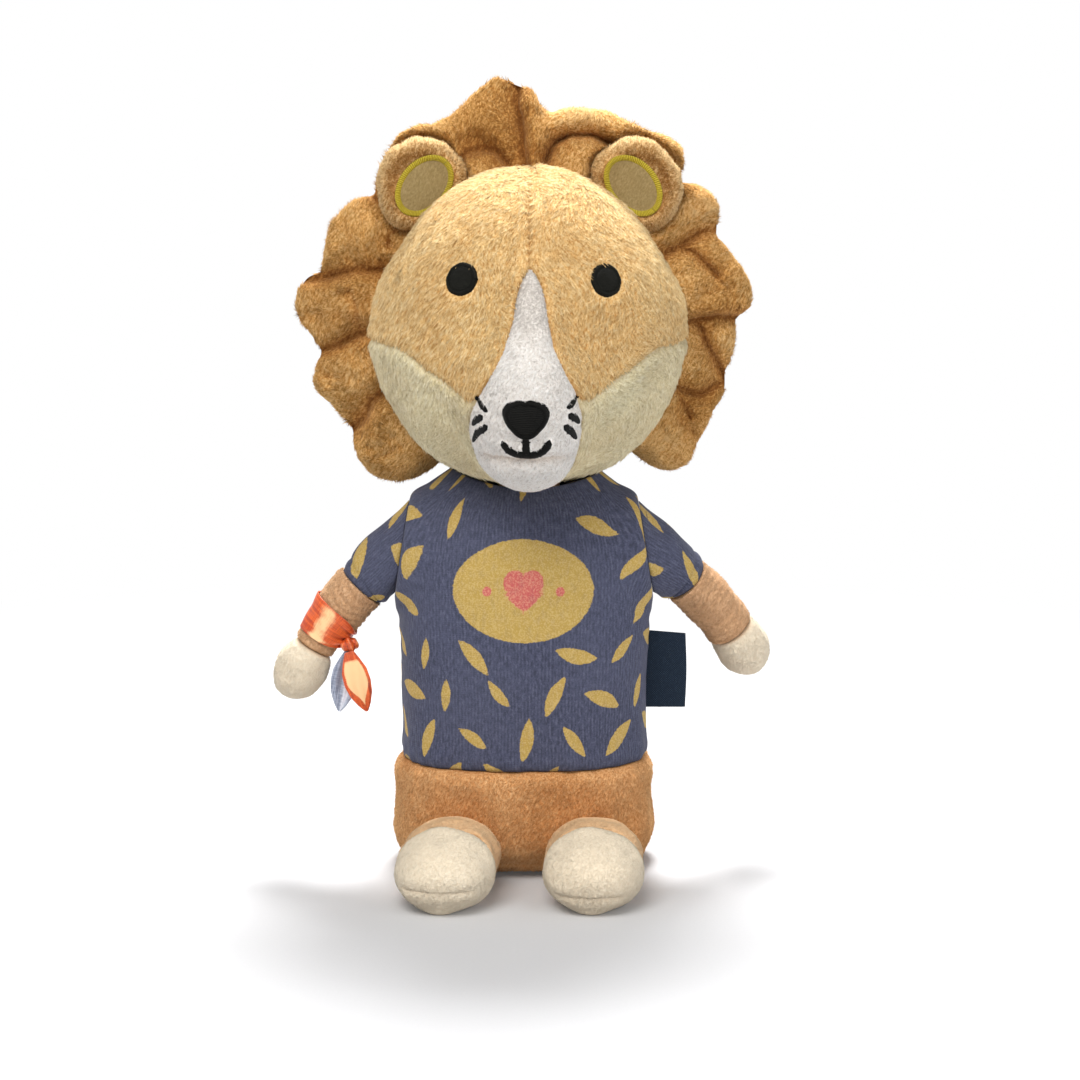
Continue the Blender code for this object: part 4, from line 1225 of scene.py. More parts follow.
@dataclass(frozen=True)
class Embroidery:
    """Satin stitches on the face, each patch a low closed pad of thread."""

    face: FaceMap
    panel: Panel

    def ground(self, side: Array, rise: Array) -> Array:
        """Height of the cloth that the stitches lie on, over the head."""
        on_panel = self.panel.inside(side, rise) > 0
        return np.where(on_panel, self.panel.lift(side, rise), 0.0)

    def stroke(self, line: Sequence[Pair], halves: Sequence[float], relief: float) -> Surface:
        """A line of stitches: a flattened tube along a smoothed line.

        Across it the place is w cos a sideways and relief sin a up, for a from 0 to 2 pi.

        Args:
            line: places on the face.
            halves: half width at each of them.
            relief: how far it stands up.

        Returns:
            The closed pad.
        """
        points = np.array(line, float)
        run = np.concatenate([[0.0], np.cumsum(np.hypot(*np.diff(points, axis=0).T))])
        count = max(26, int(run[-1] / 0.00028))
        where = np.linspace(0, run[-1], count)
        table = np.column_stack([run, points, np.array(halves, float)])
        blur = run[-1] * 0.05
        side, rise, half = (along_table(table, k, where, blur) for k in (1, 2, 3))
        ends = np.minimum(where, run[-1] - where)
        half = half * np.sqrt(np.clip(ends / 0.0009 + 0.12, 0, 1))
        way = unit(np.stack([np.gradient(side), np.gradient(rise)], axis=-1))
        around = circle(24)
        rough = 1 + 0.09 * np.random.default_rng(3).normal(size=count)[:, None]
        over = half[:, None] * rough * np.cos(around)[None, :]
        a = side[:, None] - way[:, 1:2] * over
        b = rise[:, None] + way[:, 0:1] * over
        swell = np.sin(around)[None, :] * np.sqrt(half / half.max())[:, None]
        rings = self.face.point(a, b, self.ground(a, b) + 0.0002 + relief * swell)
        ends_at = []
        for k, step in ((0, -2e-4), (-1, 2e-4)):
            place = side[k] + way[k, 0] * step, rise[k] + way[k, 1] * step
            ends_at.append(self.face.point(*place, float(self.ground(side[k], rise[k]))))
        return loft(rings, {"run": np.broadcast_to(where[:, None], a.shape)}, *ends_at)

    def patch(self, middle: Pair, outline: Callable[[Array], Array], relief: float) -> Surface:
        """A filled patch: a dome over an outline given as radius by angle.

        Its height is relief (1 - r^5)^0.6, with a ridge near the edge and a dip inside it.

        Args:
            middle: place of its middle on the face.
            outline: radius in metres for each angle.
            relief: how far it stands up.

        Returns:
            The closed pad.
        """
        around = circle(120)
        share = np.concatenate([[1.0], np.sin(np.linspace(math.pi / 2, 0.03, 44))])[:, None]
        reach = outline(around)[None, :] * share
        a = middle[0] + reach * np.cos(around)
        b = middle[1] + reach * np.sin(around)
        height = relief * np.clip(1 - share**5, 0, 1) ** 0.6
        height = height + relief * (0.22 * bell(share - 0.86, 0.07) - 0.2 * bell(share - 0.72, 0.05))
        height[0] = -0.0011
        rings = self.face.point(a, b, self.ground(a, b) + height)
        ground = float(self.ground(np.array(middle[0]), np.array(middle[1])))
        low = self.face.point(*middle, ground - 0.0012)
        high = self.face.point(*middle, ground + relief)
        border = np.broadcast_to(around[None, :] * 0.0052, a.shape)
        run = np.where(share > 0.76, border, b)
        return loft(rings, {"run": run}, low, high)


@dataclass
class Head:
    """Head, muzzle, embroidered face, ears and mane."""

    dresser: Dresser
    face: FaceMap = field(default_factory=FaceMap)
    nose_outline: Pairs = (
        (0.0, 0.0041), (0.0030, 0.0040), (0.0052, 0.0030), (0.0063, 0.0010), (0.0056, -0.0012),
        (0.0036, -0.0034), (0.0014, -0.0050), (0.0, -0.0054), (-0.0014, -0.0050),
        (-0.0036, -0.0034), (-0.0056, -0.0012), (-0.0063, 0.0010), (-0.0052, 0.0030),
        (-0.0030, 0.0040),
    )

    def __post_init__(self) -> None:
        """Make the panel and the stitches on this head's map."""
        self.panel = Panel(self.face)
        self.stitches = Embroidery(self.face, self.panel)

    def cheek(self, side: Array, rise: Array) -> Array:
        """Distance above the cheek's seam, below zero in the cream cloth.

        It is R sin(l / R) (angle - seam's angle) times the cosine of the seam's slope.

        Args:
            side: places sideways over the face, in metres.
            rise: places upwards over the face.

        Returns:
            Distances in metres.
        """
        length = np.hypot(side, rise)
        angle = np.arctan2(rise, np.abs(side))
        seam = np.radians(along_table(CHEEK_SEAM, 1, length, 0.003))
        ahead = np.radians(along_table(CHEEK_SEAM, 1, length + 0.0005, 0.003))
        slope = length * (ahead - seam) / 0.0005
        arc = self.face.radius * np.sin(np.minimum(length / self.face.radius, math.pi - 0.02))
        return arc * (angle - seam) / np.hypot(1.0, slope)

    def skull(self) -> Surface:
        """The stuffed head: the map's reach with its seams drawn in and its panel let in.

        Returns:
            The closed surface, with its seams as creases.
        """
        ways, quads = ball_directions(119)
        side, rise = self.face.places(ways)
        cheek = self.cheek(side, rise)
        inside = self.panel.inside(side, rise)
        middle = self.face.radius * np.arcsin(np.clip(ways[:, 0], -1, 1)) - 0.0004
        run = self.face.radius * np.arctan2(ways[:, 2], -ways[:, 1])
        seam = np.where(ways[:, 1] > 0, 1.0, ease(0.0262, 0.0285, rise))
        pucker = 0.6 + 0.4 * np.cos(2 * math.pi * run / 0.0034)
        lift = -seam * 0.0013 * pucker * fade(middle, 0.0009)
        lift += seam * 0.0004 * bell(np.abs(middle) - 0.0030, 0.0022)
        lift += -0.0012 * fade(cheek, 0.0009)
        lift += 0.0004 * bell(cheek + 0.0034, 0.0026) + 0.0003 * bell(cheek - 0.0030, 0.0024)
        lift += -0.0021 * ease(-0.0004, 0.0009, inside)
        lift += 0.00045 * bell(inside + 0.0028, 0.0022)
        root = (ways[:, 1] - 0.30) * self.face.radius
        lift += -0.0012 * bell(root, 0.0016)
        corner = np.abs(ways) @ np.array([0.78, 0.0, 0.62]) * (ways[:, 2] > 0)
        lift += -0.0034 * bell(np.arccos(np.clip(corner, -1, 1)), 0.40)
        lift += -0.0012 * ease(0.62, 0.90, np.abs(ways[:, 0]))
        lift += 0.00045 * Ripple(0.026, 1).at(ways * 0.055)
        lift += 0.00012 * Ripple(0.0065, 2).at(ways * 0.055)
        far = self.face.reach(ways) + lift
        # Painted shade in the drawn-in seams and round the white panel's edge.
        crease = np.maximum(seam * fade(middle, 0.0007), fade(cheek, 0.0007))
        crease = np.maximum(crease, fade(inside, 0.0006))
        surface = Surface(np.array(self.face.centre) + ways * far[:, None], quads)
        surface.values = {"cheek": cheek, "crease": crease * 0.75}
        return surface

    def nap(self, places: Array, out: Array) -> Array:
        """Direction of the head's pile: down and outwards, wandering with the stuffing.

        Args:
            places: points in the toy's frame.
            out: outward directions there.

        Returns:
            Directions, not of length 1.
        """
        away = places - np.array(self.face.centre)
        wander = Ripple(0.03, 7).at(places)
        across = away[:, 0] / self.face.radius + 0.7 * wander
        return np.stack([across, -0.2 + 0 * across, -0.9 + 0.5 * wander], axis=-1)

    def nose_radius(self, around: Array) -> Array:
        """Radius of the nose's rounded triangle by angle, read between its corners.

        Args:
            around: angles round the nose's middle.

        Returns:
            Radii in metres.
        """
        points = np.array(self.nose_outline)
        angle = np.arctan2(points[:, 1], points[:, 0])
        order = np.argsort(angle)
        reach = np.hypot(points[:, 0], points[:, 1])[order]
        angle = angle[order]
        angle = np.concatenate([angle - 2 * math.pi, angle, angle + 2 * math.pi])
        fine = np.linspace(-math.pi, 3 * math.pi, 1441)
        values = np.interp(fine, angle, np.tile(reach, 3))
        values = np.convolve(np.pad(values, 12, mode="edge"), np.full(25, 1 / 25), mode="valid")
        return np.interp(around, fine, values)

    def build(self) -> None:
        """Make and dress every piece of the head."""
        paint, add = self.dresser.palette, self.dresser.add
        skull = self.skull()
        add("head", skull, paint.tan, Body.HEAD, "tan_plush", ["head"], 0.9)
        panel = self.panel.surface()
        add("muzzle", panel, paint.white, Body.HEAD, "white_plush", ["muzzle"], 0.9)
        self.pile(skull, panel)
        self.stitch_face()
        for side in Side:
            Ear(self.dresser, side, trim=(0.11, 2.48) if side is Side.RIGHT else (0.08, 1.20)).build()
        Mane(self.dresser).build()

    def pile(self, skull: Surface, panel: Surface) -> None:
        """Grow the head's pile: over the face and sides, and over the white panel.

        Args:
            skull: the head's surface.
            panel: the white panel's surface.
        """
        paint, add = self.dresser.palette, self.dresser.add

        def on_face(places: Array) -> Array:
            """Chance of a tuft: none on the panel and eyes, few at the collar and behind."""
            away = places - np.array(self.face.centre)
            side, rise = self.face.places(unit(away))
            clear = ease(0.0002, -0.0008, self.panel.inside(side, rise))
            for spot in (-0.0258, 0.0304):
                clear = clear * ease(0.0064, 0.0080, np.hypot(side - spot, rise - 0.0238))
            tucked = 0.05 + 0.95 * ease(-0.0535, -0.0475, away[:, 2])
            return (
                clear * tucked * ease(0.030, 0.016, away[:, 1])
                * (0.55 + 0.45 * ease(0.02, -0.01, away[:, 1]))
            )

        def on_panel(places: Array) -> Array:
            """Chance of a tuft: none on the stitches."""
            away = places - np.array(self.face.centre)
            side, rise = self.face.places(unit(away))
            lift = np.linalg.norm(away, axis=-1) - self.face.reach(unit(away))
            bare = np.hypot(side + 0.0006, (rise + 0.0170) * 1.3)
            clear = ease(-0.0012, -0.0004, lift) * ease(0.0050, 0.0062, bare)
            for line in (MOUTH_LINE, PHILTRUM, *WHISKERS):
                gap, _, _ = stroke_distance(line, side, rise)
                clear = clear * ease(0.0007, 0.0013, gap)
            return clear

        tufts = Pile(
            48000, length=0.0028, width=0.00046, lean=13, stray=0.20, seed=21
        ).grow(skull, self.nap, on_face)
        add("head_pile", tufts, paint.tan, Body.HEAD, "tan_plush")
        short = Pile(22000, length=0.0013, width=0.00034, lean=18, stray=0.8, seed=22)
        add("muzzle_pile", short.grow(panel, self.nap, on_panel), paint.white, Body.HEAD, "white_plush")

    def stitch_face(self) -> None:
        """Embroider eyes, nose, mouth and whiskers."""
        paint, add, sew = self.dresser.palette, self.dresser.add, self.stitches
        for label, middle, lean in (("right", (-0.0258, 0.0240), 0.85), ("left", (0.0304, 0.0236), 1.95)):

            def oval(around: Array) -> Array:
                """Radius of the eye by angle, a little uneven."""
                edge = (
                    1 + 0.010 * np.cos(3 * around + 1) + 0.012 * np.cos(8 * around)
                    + 0.010 * np.cos(29 * around)
                )
                return 0.00625 * edge / np.hypot(np.cos(around - lean) / 1.08, np.sin(around - lean))

            eye = sew.patch(middle, oval, 0.0011)
            add(f"eye_{label}", eye, paint.black, Body.HEAD, "black_thread", [f"eye_{label}"])
        nose = sew.patch((-0.0006, -0.0168), self.nose_radius, 0.0013)
        add("nose", nose, paint.nose, Body.HEAD, "black_thread", ["nose"])
        mouth = [sew.stroke(PHILTRUM, (0.0009, 0.0010), 0.0006)]
        mouth.append(sew.stroke(MOUTH_LINE, (0.0010, 0.0012, 0.0013, 0.0013, 0.0013, 0.0012, 0.0010), 0.0006))
        add("mouth", joined(mouth), paint.nose, Body.HEAD, "black_thread")
        hairs = [sew.stroke(line, (0.00085, 0.0010, 0.0004), 0.0005) for line in WHISKERS]
        add("whiskers", joined(hairs), paint.nose, Body.HEAD, "black_thread")


PHILTRUM = ((-0.0006, -0.0208), (-0.0005, -0.0262))
MOUTH_LINE = (
    (-0.0066, -0.0236), (-0.0058, -0.0250), (-0.0040, -0.0262), (-0.0005, -0.0268),
    (0.0030, -0.0262), (0.0046, -0.0248), (0.0054, -0.0230),
)
WHISKERS = (
    ((-0.0112, -0.0172), (-0.0138, -0.0164), (-0.0168, -0.0152)),
    ((-0.0128, -0.0192), (-0.0152, -0.0214), (-0.0174, -0.0246)),
    ((-0.0112, -0.0212), (-0.0148, -0.0250), (-0.0176, -0.0308)),
    ((0.0106, -0.0160), (0.0130, -0.0157), (0.0152, -0.0150)),
    ((0.0110, -0.0180), (0.0134, -0.0200), (0.0154, -0.0228)),
    ((0.0096, -0.0204), (0.0120, -0.0232), (0.0142, -0.0270)),
)


def hoop(rings: Array, values: Optional[dict[str, Array]] = None) -> Surface:
    """Surface closed both ways through rings of points, the last ring meeting the first.

    Args:
        rings: array of rings, points and x, y, z.
        values: arrays of rings by points.

    Returns:
        The surface.
    """
    rows, count, _ = rings.shape
    grid = np.arange(rows * count).reshape(rows, count)
    below, after = np.roll(grid, -1, axis=0), np.roll(grid, -1, axis=1)
    corner = np.roll(after, -1, axis=0)
    quads = np.stack([grid, after, corner, below], axis=-1).reshape(-1, 4)
    surface = Surface(rings.reshape(-1, 3), quads)
    surface.values = {key: value.ravel() for key, value in (values or {}).items()}
    return surface


@dataclass
class Ear:
    """Round ear: a stuffed disc, dished in front, with a velour lining ringed in yellow."""

    dresser: Dresser
    side: Side
    angle: float = math.radians(37.8)
    reach: float = 0.0628
    setback: float = 0.0105
    radius: float = 0.0162
    inset: float = 0.0009
    offset: float = 0.0012
    ring: Pair = (0.0112, 0.0078)
    slant: float = 0.19
    trim: Pair = (0.08, 1.20)
    profile: Pairs = (
        (0.02, -0.0036), (0.30, -0.0037), (0.52, -0.0040), (0.66, -0.0050), (0.78, -0.0058),
        (0.89, -0.0054), (0.97, -0.0036), (1.00, -0.0008), (0.98, 0.0022), (0.90, 0.0042),
        (0.76, 0.0053), (0.55, 0.0057), (0.30, 0.0058), (0.02, 0.0058),
    )

    def place(self, across: Array, up: Array, depth: Array) -> Array:
        """Point of the ear: across it, up along its spoke and back from its middle.

        Args:
            across: places across the ear, in metres.
            up: places up its spoke.
            depth: places back from its middle.

        Returns:
            Points in the toy's frame.
        """
        centre = np.array(FaceMap().centre)
        away = np.array([self.side.value * math.sin(self.angle), 0, math.cos(self.angle)])
        along = np.array([math.cos(self.angle), 0, -self.side.value * math.sin(self.angle)])
        middle = centre + away * self.reach + np.array([0, self.setback, 0])
        return (
            middle + across[..., None] * along + up[..., None] * away
            + depth[..., None] * np.array([0.0, 1.0, 0.0])
        )

    def ringed(self, across: Array, up: Array) -> tuple[Array, Array]:
        """Places of the lining's oval, slanted and moved to where it lies on the ear."""
        cos, sin = math.cos(self.slant), -self.side.value * math.sin(self.slant)
        return across * cos - up * sin - self.side.value * self.offset, across * sin + up * cos - self.inset

    def dish(self, share: Array) -> Array:
        """Depth of the ear's front at a share of its radius."""
        table = np.array(self.profile[:7])
        return np.interp(share, table[:, 0], table[:, 1])

    def build(self) -> None:
        """Make and dress the ear, its lining and its ring."""
        paint, add, label = self.dresser.palette, self.dresser.add, self.side.label
        around = circle(150)[None, :]
        row = np.linspace(0, 1, 74)
        table = [(k / (len(self.profile) - 1), r, y) for k, (r, y) in enumerate(self.profile)]
        share = along_table(table, 1, row, 0.02)[:, None]
        depth = along_table(table, 2, row, 0.02)[:, None]
        lumps = 1 + 0.018 * np.cos(2 * around + 0.6) + 0.012 * np.cos(5 * around + 2)
        lumps = lumps - self.trim[0] * bell(around - self.trim[1], 0.55)
        across, up = share * np.cos(around) * self.radius, share * np.sin(around) * self.radius
        rings = self.place(across * lumps, up * lumps, depth + 0 * around)
        ends = [self.place(ORIGIN, ORIGIN, ORIGIN + self.profile[k][1]) for k in (0, -1)]
        # Painted shade in the dish's crease; below, a painted highlight along the outer rim and painted shade
        # inside the dish.
        crease = bell(share - 0.60, 0.06) * (row[:, None] < 0.5) + 0 * around
        outer, front = np.clip(0.45 + 0.8 * np.sin(around), 0, 1), row[:, None] < 0.62
        shade = front * outer * (1.35 * ease(0.80, 0.97, share) - 1.0 * bell(share - 0.68, 0.09))
        ear = loft(rings, {"crease": crease * 0.5, "cheek": crease * 0 + 0.01, "shade": shade}, *ends)
        ear.swell(0.00022 * Ripple(0.008, 31 + self.side.value).at(ear.points))
        add(f"ear_{label}", ear, paint.ear, Body.HEAD, "tan_plush", [f"ear_{label}"], 0.7)

        def keep(places: Array) -> Array:
            """1 off the lining and its ring, 0 on them."""
            flat = places - self.place(ORIGIN, ORIGIN, ORIGIN)
            along = np.array([math.cos(self.angle), 0, -self.side.value * math.sin(self.angle)])
            away = np.array([self.side.value * math.sin(self.angle), 0, math.cos(self.angle)])
            over, up = flat @ along + self.side.value * self.offset, flat @ away + self.inset
            cos, sin = math.cos(self.slant), -self.side.value * math.sin(self.slant)
            far = np.hypot((over * cos + up * sin) / self.ring[0], (up * cos - over * sin) / self.ring[1])
            return ease(1.10, 1.20, far)

        def nap(places: Array, out: Array) -> Array:
            """Direction of the ear's pile: away from its middle."""
            flat = places - self.place(ORIGIN, ORIGIN, ORIGIN)
            return np.stack([flat[:, 0], 0 * flat[:, 0] + 0.004, flat[:, 2]], axis=-1)

        tufts = Pile(9000, length=0.0019, seed=41 + self.side.value).grow(ear, nap, keep)
        add(f"ear_pile_{label}", tufts, paint.ear, Body.HEAD, "tan_plush")
        self.line(label)

    def line(self, label: str) -> None:
        """The velour lining and the satin-stitched ring round it.

        Args:
            label: the side's word for names.
        """
        paint, add = self.dresser.palette, self.dresser.add
        around = circle(120)
        share = np.concatenate([[1.0], np.sin(np.linspace(math.pi / 2, 0.03, 30))])[:, None]
        across, up = self.ringed(share * self.ring[0] * np.cos(around), share * self.ring[1] * np.sin(around))
        depth = self.dish(np.hypot(across, up) / self.radius) - 0.0003
        depth = depth - 0.0008 * np.clip(1 - share**4, 0, 1) ** 0.5
        depth[0] = -0.0028
        zero, off = self.ringed(np.zeros(()), np.zeros(()))
        low, high = self.place(zero, off, 0 * off - 0.0028), self.place(zero, off, 0 * off - 0.0047)
        lining = loft(self.place(across, up, depth), None, low, high)
        name = f"ear_lining_{label}"
        add(name, lining, paint.lining, Body.HEAD, "ear_velour", [name], 0.5)
        section = circle(16)[None, :]
        turn = circle(220)[:, None]
        over = 0.0011 * np.cos(section)
        across, up = self.ringed((self.ring[0] + over) * np.cos(turn), (self.ring[1] + over) * np.sin(turn))
        lift = self.dish(np.hypot(across, up) / self.radius) - 0.0005 - 0.0007 * np.sin(section)
        rings = self.place(across, up, lift)
        run = {"run": 0.0066 * turn + 0 * section}
        add(f"ear_ring_{label}", hoop(rings, run), paint.yellow, Body.HEAD, "ear_velour")


# Angle from the top and radius of the mane's outline, in degrees and metres
MANE_OUTLINE = (
    (-149, .052), (-147.3, .0621), (-144, .070), (-140.8, .075), (-137.5, .0781), (-134.2, .0797),
    (-130.1, .0794), (-125.8, .078), (-121.5, .0752), (-117.9, .0757), (-113, .0774),
    (-108.8, .0803), (-105.9, .0807), (-101.3, .0778), (-98.6, .0758), (-93.2, .0785),
    (-90.5, .082), (-86.6, .084), (-82.1, .0837), (-78.6, .081), (-77, .0765), (-69.4, .0776),
    (-63.5, .0792), (-60.1, .0778), (-55.7, .076), (-50.8, .0715), (-44.5, .0761), (-37.4, .0795),
    (-34.1, .0811), (-28.9, .0798), (-26, .0778), (-20, .0782), (-16, .0812), (-11.9, .0845),
    (-8.2, .0872), (-5, .0858), (-2.2, .0838), (-.7, .0830), (1, .082), (3, .0764), (5.8, .0745),
    (10, .0768), (15.6, .0785), (20.8, .0797), (25.4, .0792), (31.1, .0796), (36.8, .082),
    (40.5, .0827), (43.6, .080), (47.5, .0735), (51, .0771), (54.5, .0793), (58.5, .0792),
    (65.8, .0738), (72.5, .0766), (76.2, .0785), (80.4, .0804), (83.8, .0807), (86.4, .0794),
    (89.9, .0742), (95.9, .0744), (99.8, .0742), (104.6, .0733), (109.5, .0753), (115.5, .074),
    (122.3, .0748), (126.6, .0754), (129.8, .0767), (132.8, .0769), (136.4, .0747),
    (139.1, .0706), (140.5, .0658), (142.2, .055),
)


@dataclass(frozen=True)
class Fold:
    """A fold in the mane: its line in degrees and millimetres, its depth and both slopes."""

    line: Pairs
    depth: float
    before: float
    after: float


MANE_FOLDS = (
    Fold(
        ((-2.2, 86), (-3.2, 78.3), (-2.2, 73.1), (-1.7, 67.4), (-1.7, 61.8), (-0.4, 52)),
        0.0068, 0.0016, 0.0040,
    ),
    Fold(((-23, 62.5), (-20.5, 64.6), (-15.5, 64.2), (-10.6, 62.0), (-7.6, 57)), 0.0056, 0.0024, 0.0014),
    Fold(((-80, 83), (-78.8, 77.1), (-77.5, 73), (-73.4, 65.3), (-69.1, 52)), 0.0060, 0.0044, 0.0015),
    Fold(((-78.0, 66), (-84, 62.0), (-89.6, 61.6), (-94.2, 59)), 0.0032, 0.0012, 0.0030),
    Fold(((-99.5, 80), (-98.5, 76), (-96.8, 68), (-94.1, 61.2), (-93.4, 52)), 0.0062, 0.0042, 0.0014),
    Fold(
        ((-122.5, 79), (-121.9, 74.9), (-120.4, 68.6), (-116.6, 63.3), (-114.3, 52)),
        0.0060, 0.0040, 0.0014,
    ),
    Fold(((66.5, 78), (64, 74.6), (62.9, 70), (63.1, 63.6), (63.4, 52)), 0.0055, 0.0014, 0.0038),
    Fold(((64.5, 61), (66.4, 64.0), (70.7, 66.3), (76, 69.6)), 0.0040, 0.0012, 0.0024),
    Fold(((6.0, 58), (7.3, 62.3), (8.6, 65), (12.3, 68.3), (18.9, 70.5), (24.5, 70)), 0.0074, 0.0017, 0.0014),
    Fold(((90, 80), (89.2, 75.8), (88.2, 67.8), (89, 59.9), (89.7, 52)), 0.0056, 0.0030, 0.0014),
    Fold(((90.0, 60.5), (93.0, 62.6), (97.2, 64.6), (101.4, 68.5), (106, 74)), 0.0058, 0.0018, 0.0034),
    Fold(((113.4, 55), (113.8, 63.9), (112.8, 67.5), (109.7, 71.1), (106.0, 78)), 0.0055, 0.0036, 0.0014),
    Fold(((-50.4, 78), (-51.6, 68), (-51.4, 58)), 0.0045, 0.0020, 0.0030),
    Fold(((46.6, 80), (47.1, 69.8), (48.8, 58)), 0.0045, 0.0030, 0.0020),
    Fold(((-63, 56), (-58, 58.5), (-52, 58)), 0.0030, 0.0016, 0.0030),
    Fold(((114.5, 58), (117.0, 62), (121.5, 69)), 0.0034, 0.0014, 0.0026),
    Fold(((126.0, 80), (124.0, 70), (122.0, 60)), 0.0018, 0.0020, 0.0020),
    Fold(((-108.0, 66), (-106.4, 72), (-104, 79)), 0.0016, 0.0018, 0.0024),
    Fold(((-134, 62), (-133, 70), (-131, 76)), 0.0016, 0.0020, 0.0024),
    Fold(((33, 62), (36, 70), (37, 77)), 0.0016, 0.0022, 0.0022),
    Fold(((-66, 66), (-64, 72), (-62.5, 77)), 0.0014, 0.0018, 0.0022),
    Fold(((-87, 66), (-87.5, 73), (-86, 80)), 0.0013, 0.0018, 0.0022),
    Fold(((78, 60), (80, 68), (80.5, 75)), 0.0016, 0.0018, 0.0024),
    Fold(((-30, 66), (-31, 74)), 0.0012, 0.0018, 0.0022),
)


@dataclass
class Mane:
    """Ruffled mane: one stuffed band gathered round the head, open under the chin."""

    dresser: Dresser
    root: float = 0.0440
    setback: float = 0.0170
    lean: float = 0.0045
    half: float = 0.0096
    columns: int = 600
    rows: int = 70
    # Lighter and darker patches on the lobes: partly nap brushed different ways, partly painted light and
    # shade where the lobes are lit or shaded.
    brushed: tuple[tuple[float, float, float, float], ...] = (
        (-11, 71, 0.0150, -1.9), (16, 75, 0.0085, 2.6), (7, 73, 0.0060, 1.3), (59, 73, 0.0085, 1.5),
        (116, 70, 0.0080, -1.4), (132, 68, 0.0080, 0.8), (86, 69, 0.0070, -0.8), (-86, 62, 0.0060, 0.8),
        (97, 72, 0.0060, 1.2), (-105, 68, 0.0060, 0.7),
    )

    def surface(self) -> Surface:
        """Front and back over a grid of angle and share of the way out.

        With s = sin f for f from 0.1 to pi/2, the radius is root + s (outline - root) and each
        face stands half cos(f)^0.75 off the middle, less its folds.

        Returns:
            The closed sheet.
        """
        table = MANE_OUTLINE
        angle = np.linspace(table[0][0], table[-1][0], self.columns)[None, :]
        rise = np.linspace(0.10, math.pi / 2, self.rows)[:, None]
        outline = along_table(table, 1, angle[0], 0.9)[None, :]
        share = np.sin(rise)
        radius = self.root + share * (outline - self.root)
        turn = np.radians(angle)
        flat = np.stack([radius * np.sin(turn), 0 * radius, radius * np.cos(turn)], axis=-1)
        ends = ease(-149.0, -141.0, angle) * ease(142.2, 136.0, angle)
        puff = self.half * (0.35 + 0.65 * ends) * np.cos(rise) ** 0.62
        puff = puff * (1 + 0.10 * Ripple(0.022, 51).at(flat))
        front, crease, hollow = self.folded(flat, radius, 1.0)
        rear = self.folded(flat * np.array([1.0, 1.0, 0.97]), radius * 1.02, 0.55)[0]
        fade = np.clip(np.cos(rise) / 0.5, 0, 1) ** 0.5
        rolls = 0.0009 * Ripple(0.015, 52).at(flat) + 0.0004 * Ripple(0.008, 53).at(flat)
        middle = self.setback + self.lean * (2 * share - 1)
        for side in (-1, 1):
            spot = np.array([side * 0.0628 * math.sin(0.66), 0.0, 0.0628 * math.cos(0.66)])
            front = np.maximum(front, 0.0085 * ease(0.0200, 0.0140, np.linalg.norm(flat - spot, axis=-1)))
        y_front = middle - puff + front * fade - rolls * fade
        y_back = middle + puff * 0.9 - rear * fade + rolls * fade
        y_back = np.maximum(y_back, y_front + 0.0006)
        # Painted shade near each fold and painted light on the pillows between, then the patches of nap and
        # painted light and shade.
        shade = 0.46 - 1.9 * hollow
        for turned, reach, spread, amount in self.brushed:
            bearing = math.radians(turned)
            spot = np.array([math.sin(bearing), 0.0, math.cos(bearing)]) * reach / 1000
            shade += amount * bell(np.linalg.norm(flat - spot, axis=-1), spread)
        centre = np.array(FaceMap().centre)
        one = flat + centre + np.stack([0 * y_front, y_front, 0 * y_front], axis=-1)
        two = flat + centre + np.stack([0 * y_back, y_back, 0 * y_back], axis=-1)
        return closed_sheet(one, two, {"crease": crease, "shade": shade})

    def folded(self, flat: Array, radius: Array, share: float) -> tuple[Array, Array, Array]:
        """Depth of the folds over the mane, the painted shade along each fold and how near a fold is.

        Beside each fold's line the depth is depth e^(-d / slope), steep on one side of it.

        Args:
            flat: the mane's points before it is folded.
            radius: their distance from its middle.
            share: how much of each fold's depth counts.

        Returns:
            Depth, painted shade along the folds, and nearness, which becomes painted shade in the hollows.
        """
        total = np.zeros(flat.shape[:-1])
        dark = np.zeros(flat.shape[:-1])
        hollow = np.zeros(flat.shape[:-1])
        for fold in MANE_FOLDS:
            line = np.array(fold.line, float)
            turn = np.radians(line[:, 0])
            spots = np.stack([np.sin(turn), np.cos(turn)], axis=-1) * line[:, 1:2] / 1000
            away, signed, run = stroke_distance(spots, flat[..., 0], flat[..., 2])
            slope = np.where(signed > 0, fold.before, fold.after)
            slope = slope * (1.1 + 0.7 * ease(0.0018, 0.0030, slope))
            ends = ease(-0.05, 0.12, run) * ease(1.05, 0.85, run) if fold.depth < 0.004 else 1.0
            profile = 0.92 * np.exp(-away / slope) + 0.38 * bell(away, 2.5 * slope)
            depth = fold.depth * share * profile * ends
            total = np.maximum(total, depth) + 0.25 * np.minimum(total, depth)
            total -= 0.20 * fold.depth * share * bell(away - 0.0078, 0.0036) * ends
            # Painted shade: dark along each fold's line, and a wider nearness band for painted shade in the
            # hollows.
            near = 1.15 * fade(away, 0.0013) + 0.30 * bell(away, 0.0040)
            dark = np.maximum(dark, near * ends * min(1.0, fold.depth / 0.0048))
            hollow = np.maximum(hollow, bell(away, 0.0055) * ends * min(1.0, fold.depth / 0.0050))
        return total, np.clip(dark, 0.0, 1.0), hollow

    def nap(self, places: Array, out: Array) -> Array:
        """Direction of the mane's pile: outwards and round, wandering from fold to fold.

        Args:
            places: points in the toy's frame.
            out: outward directions there.

        Returns:
            Directions.
        """
        away = places - np.array(FaceMap().centre)
        spoke = unit(away * np.array([1.0, 0.0, 1.0]))
        around = np.stack([spoke[:, 2], 0 * spoke[:, 0], -spoke[:, 0]], axis=-1)
        wander = Ripple(0.024, 55).at(places)[:, None] * 1.6
        return spoke * np.cos(wander) + around * np.sin(wander)

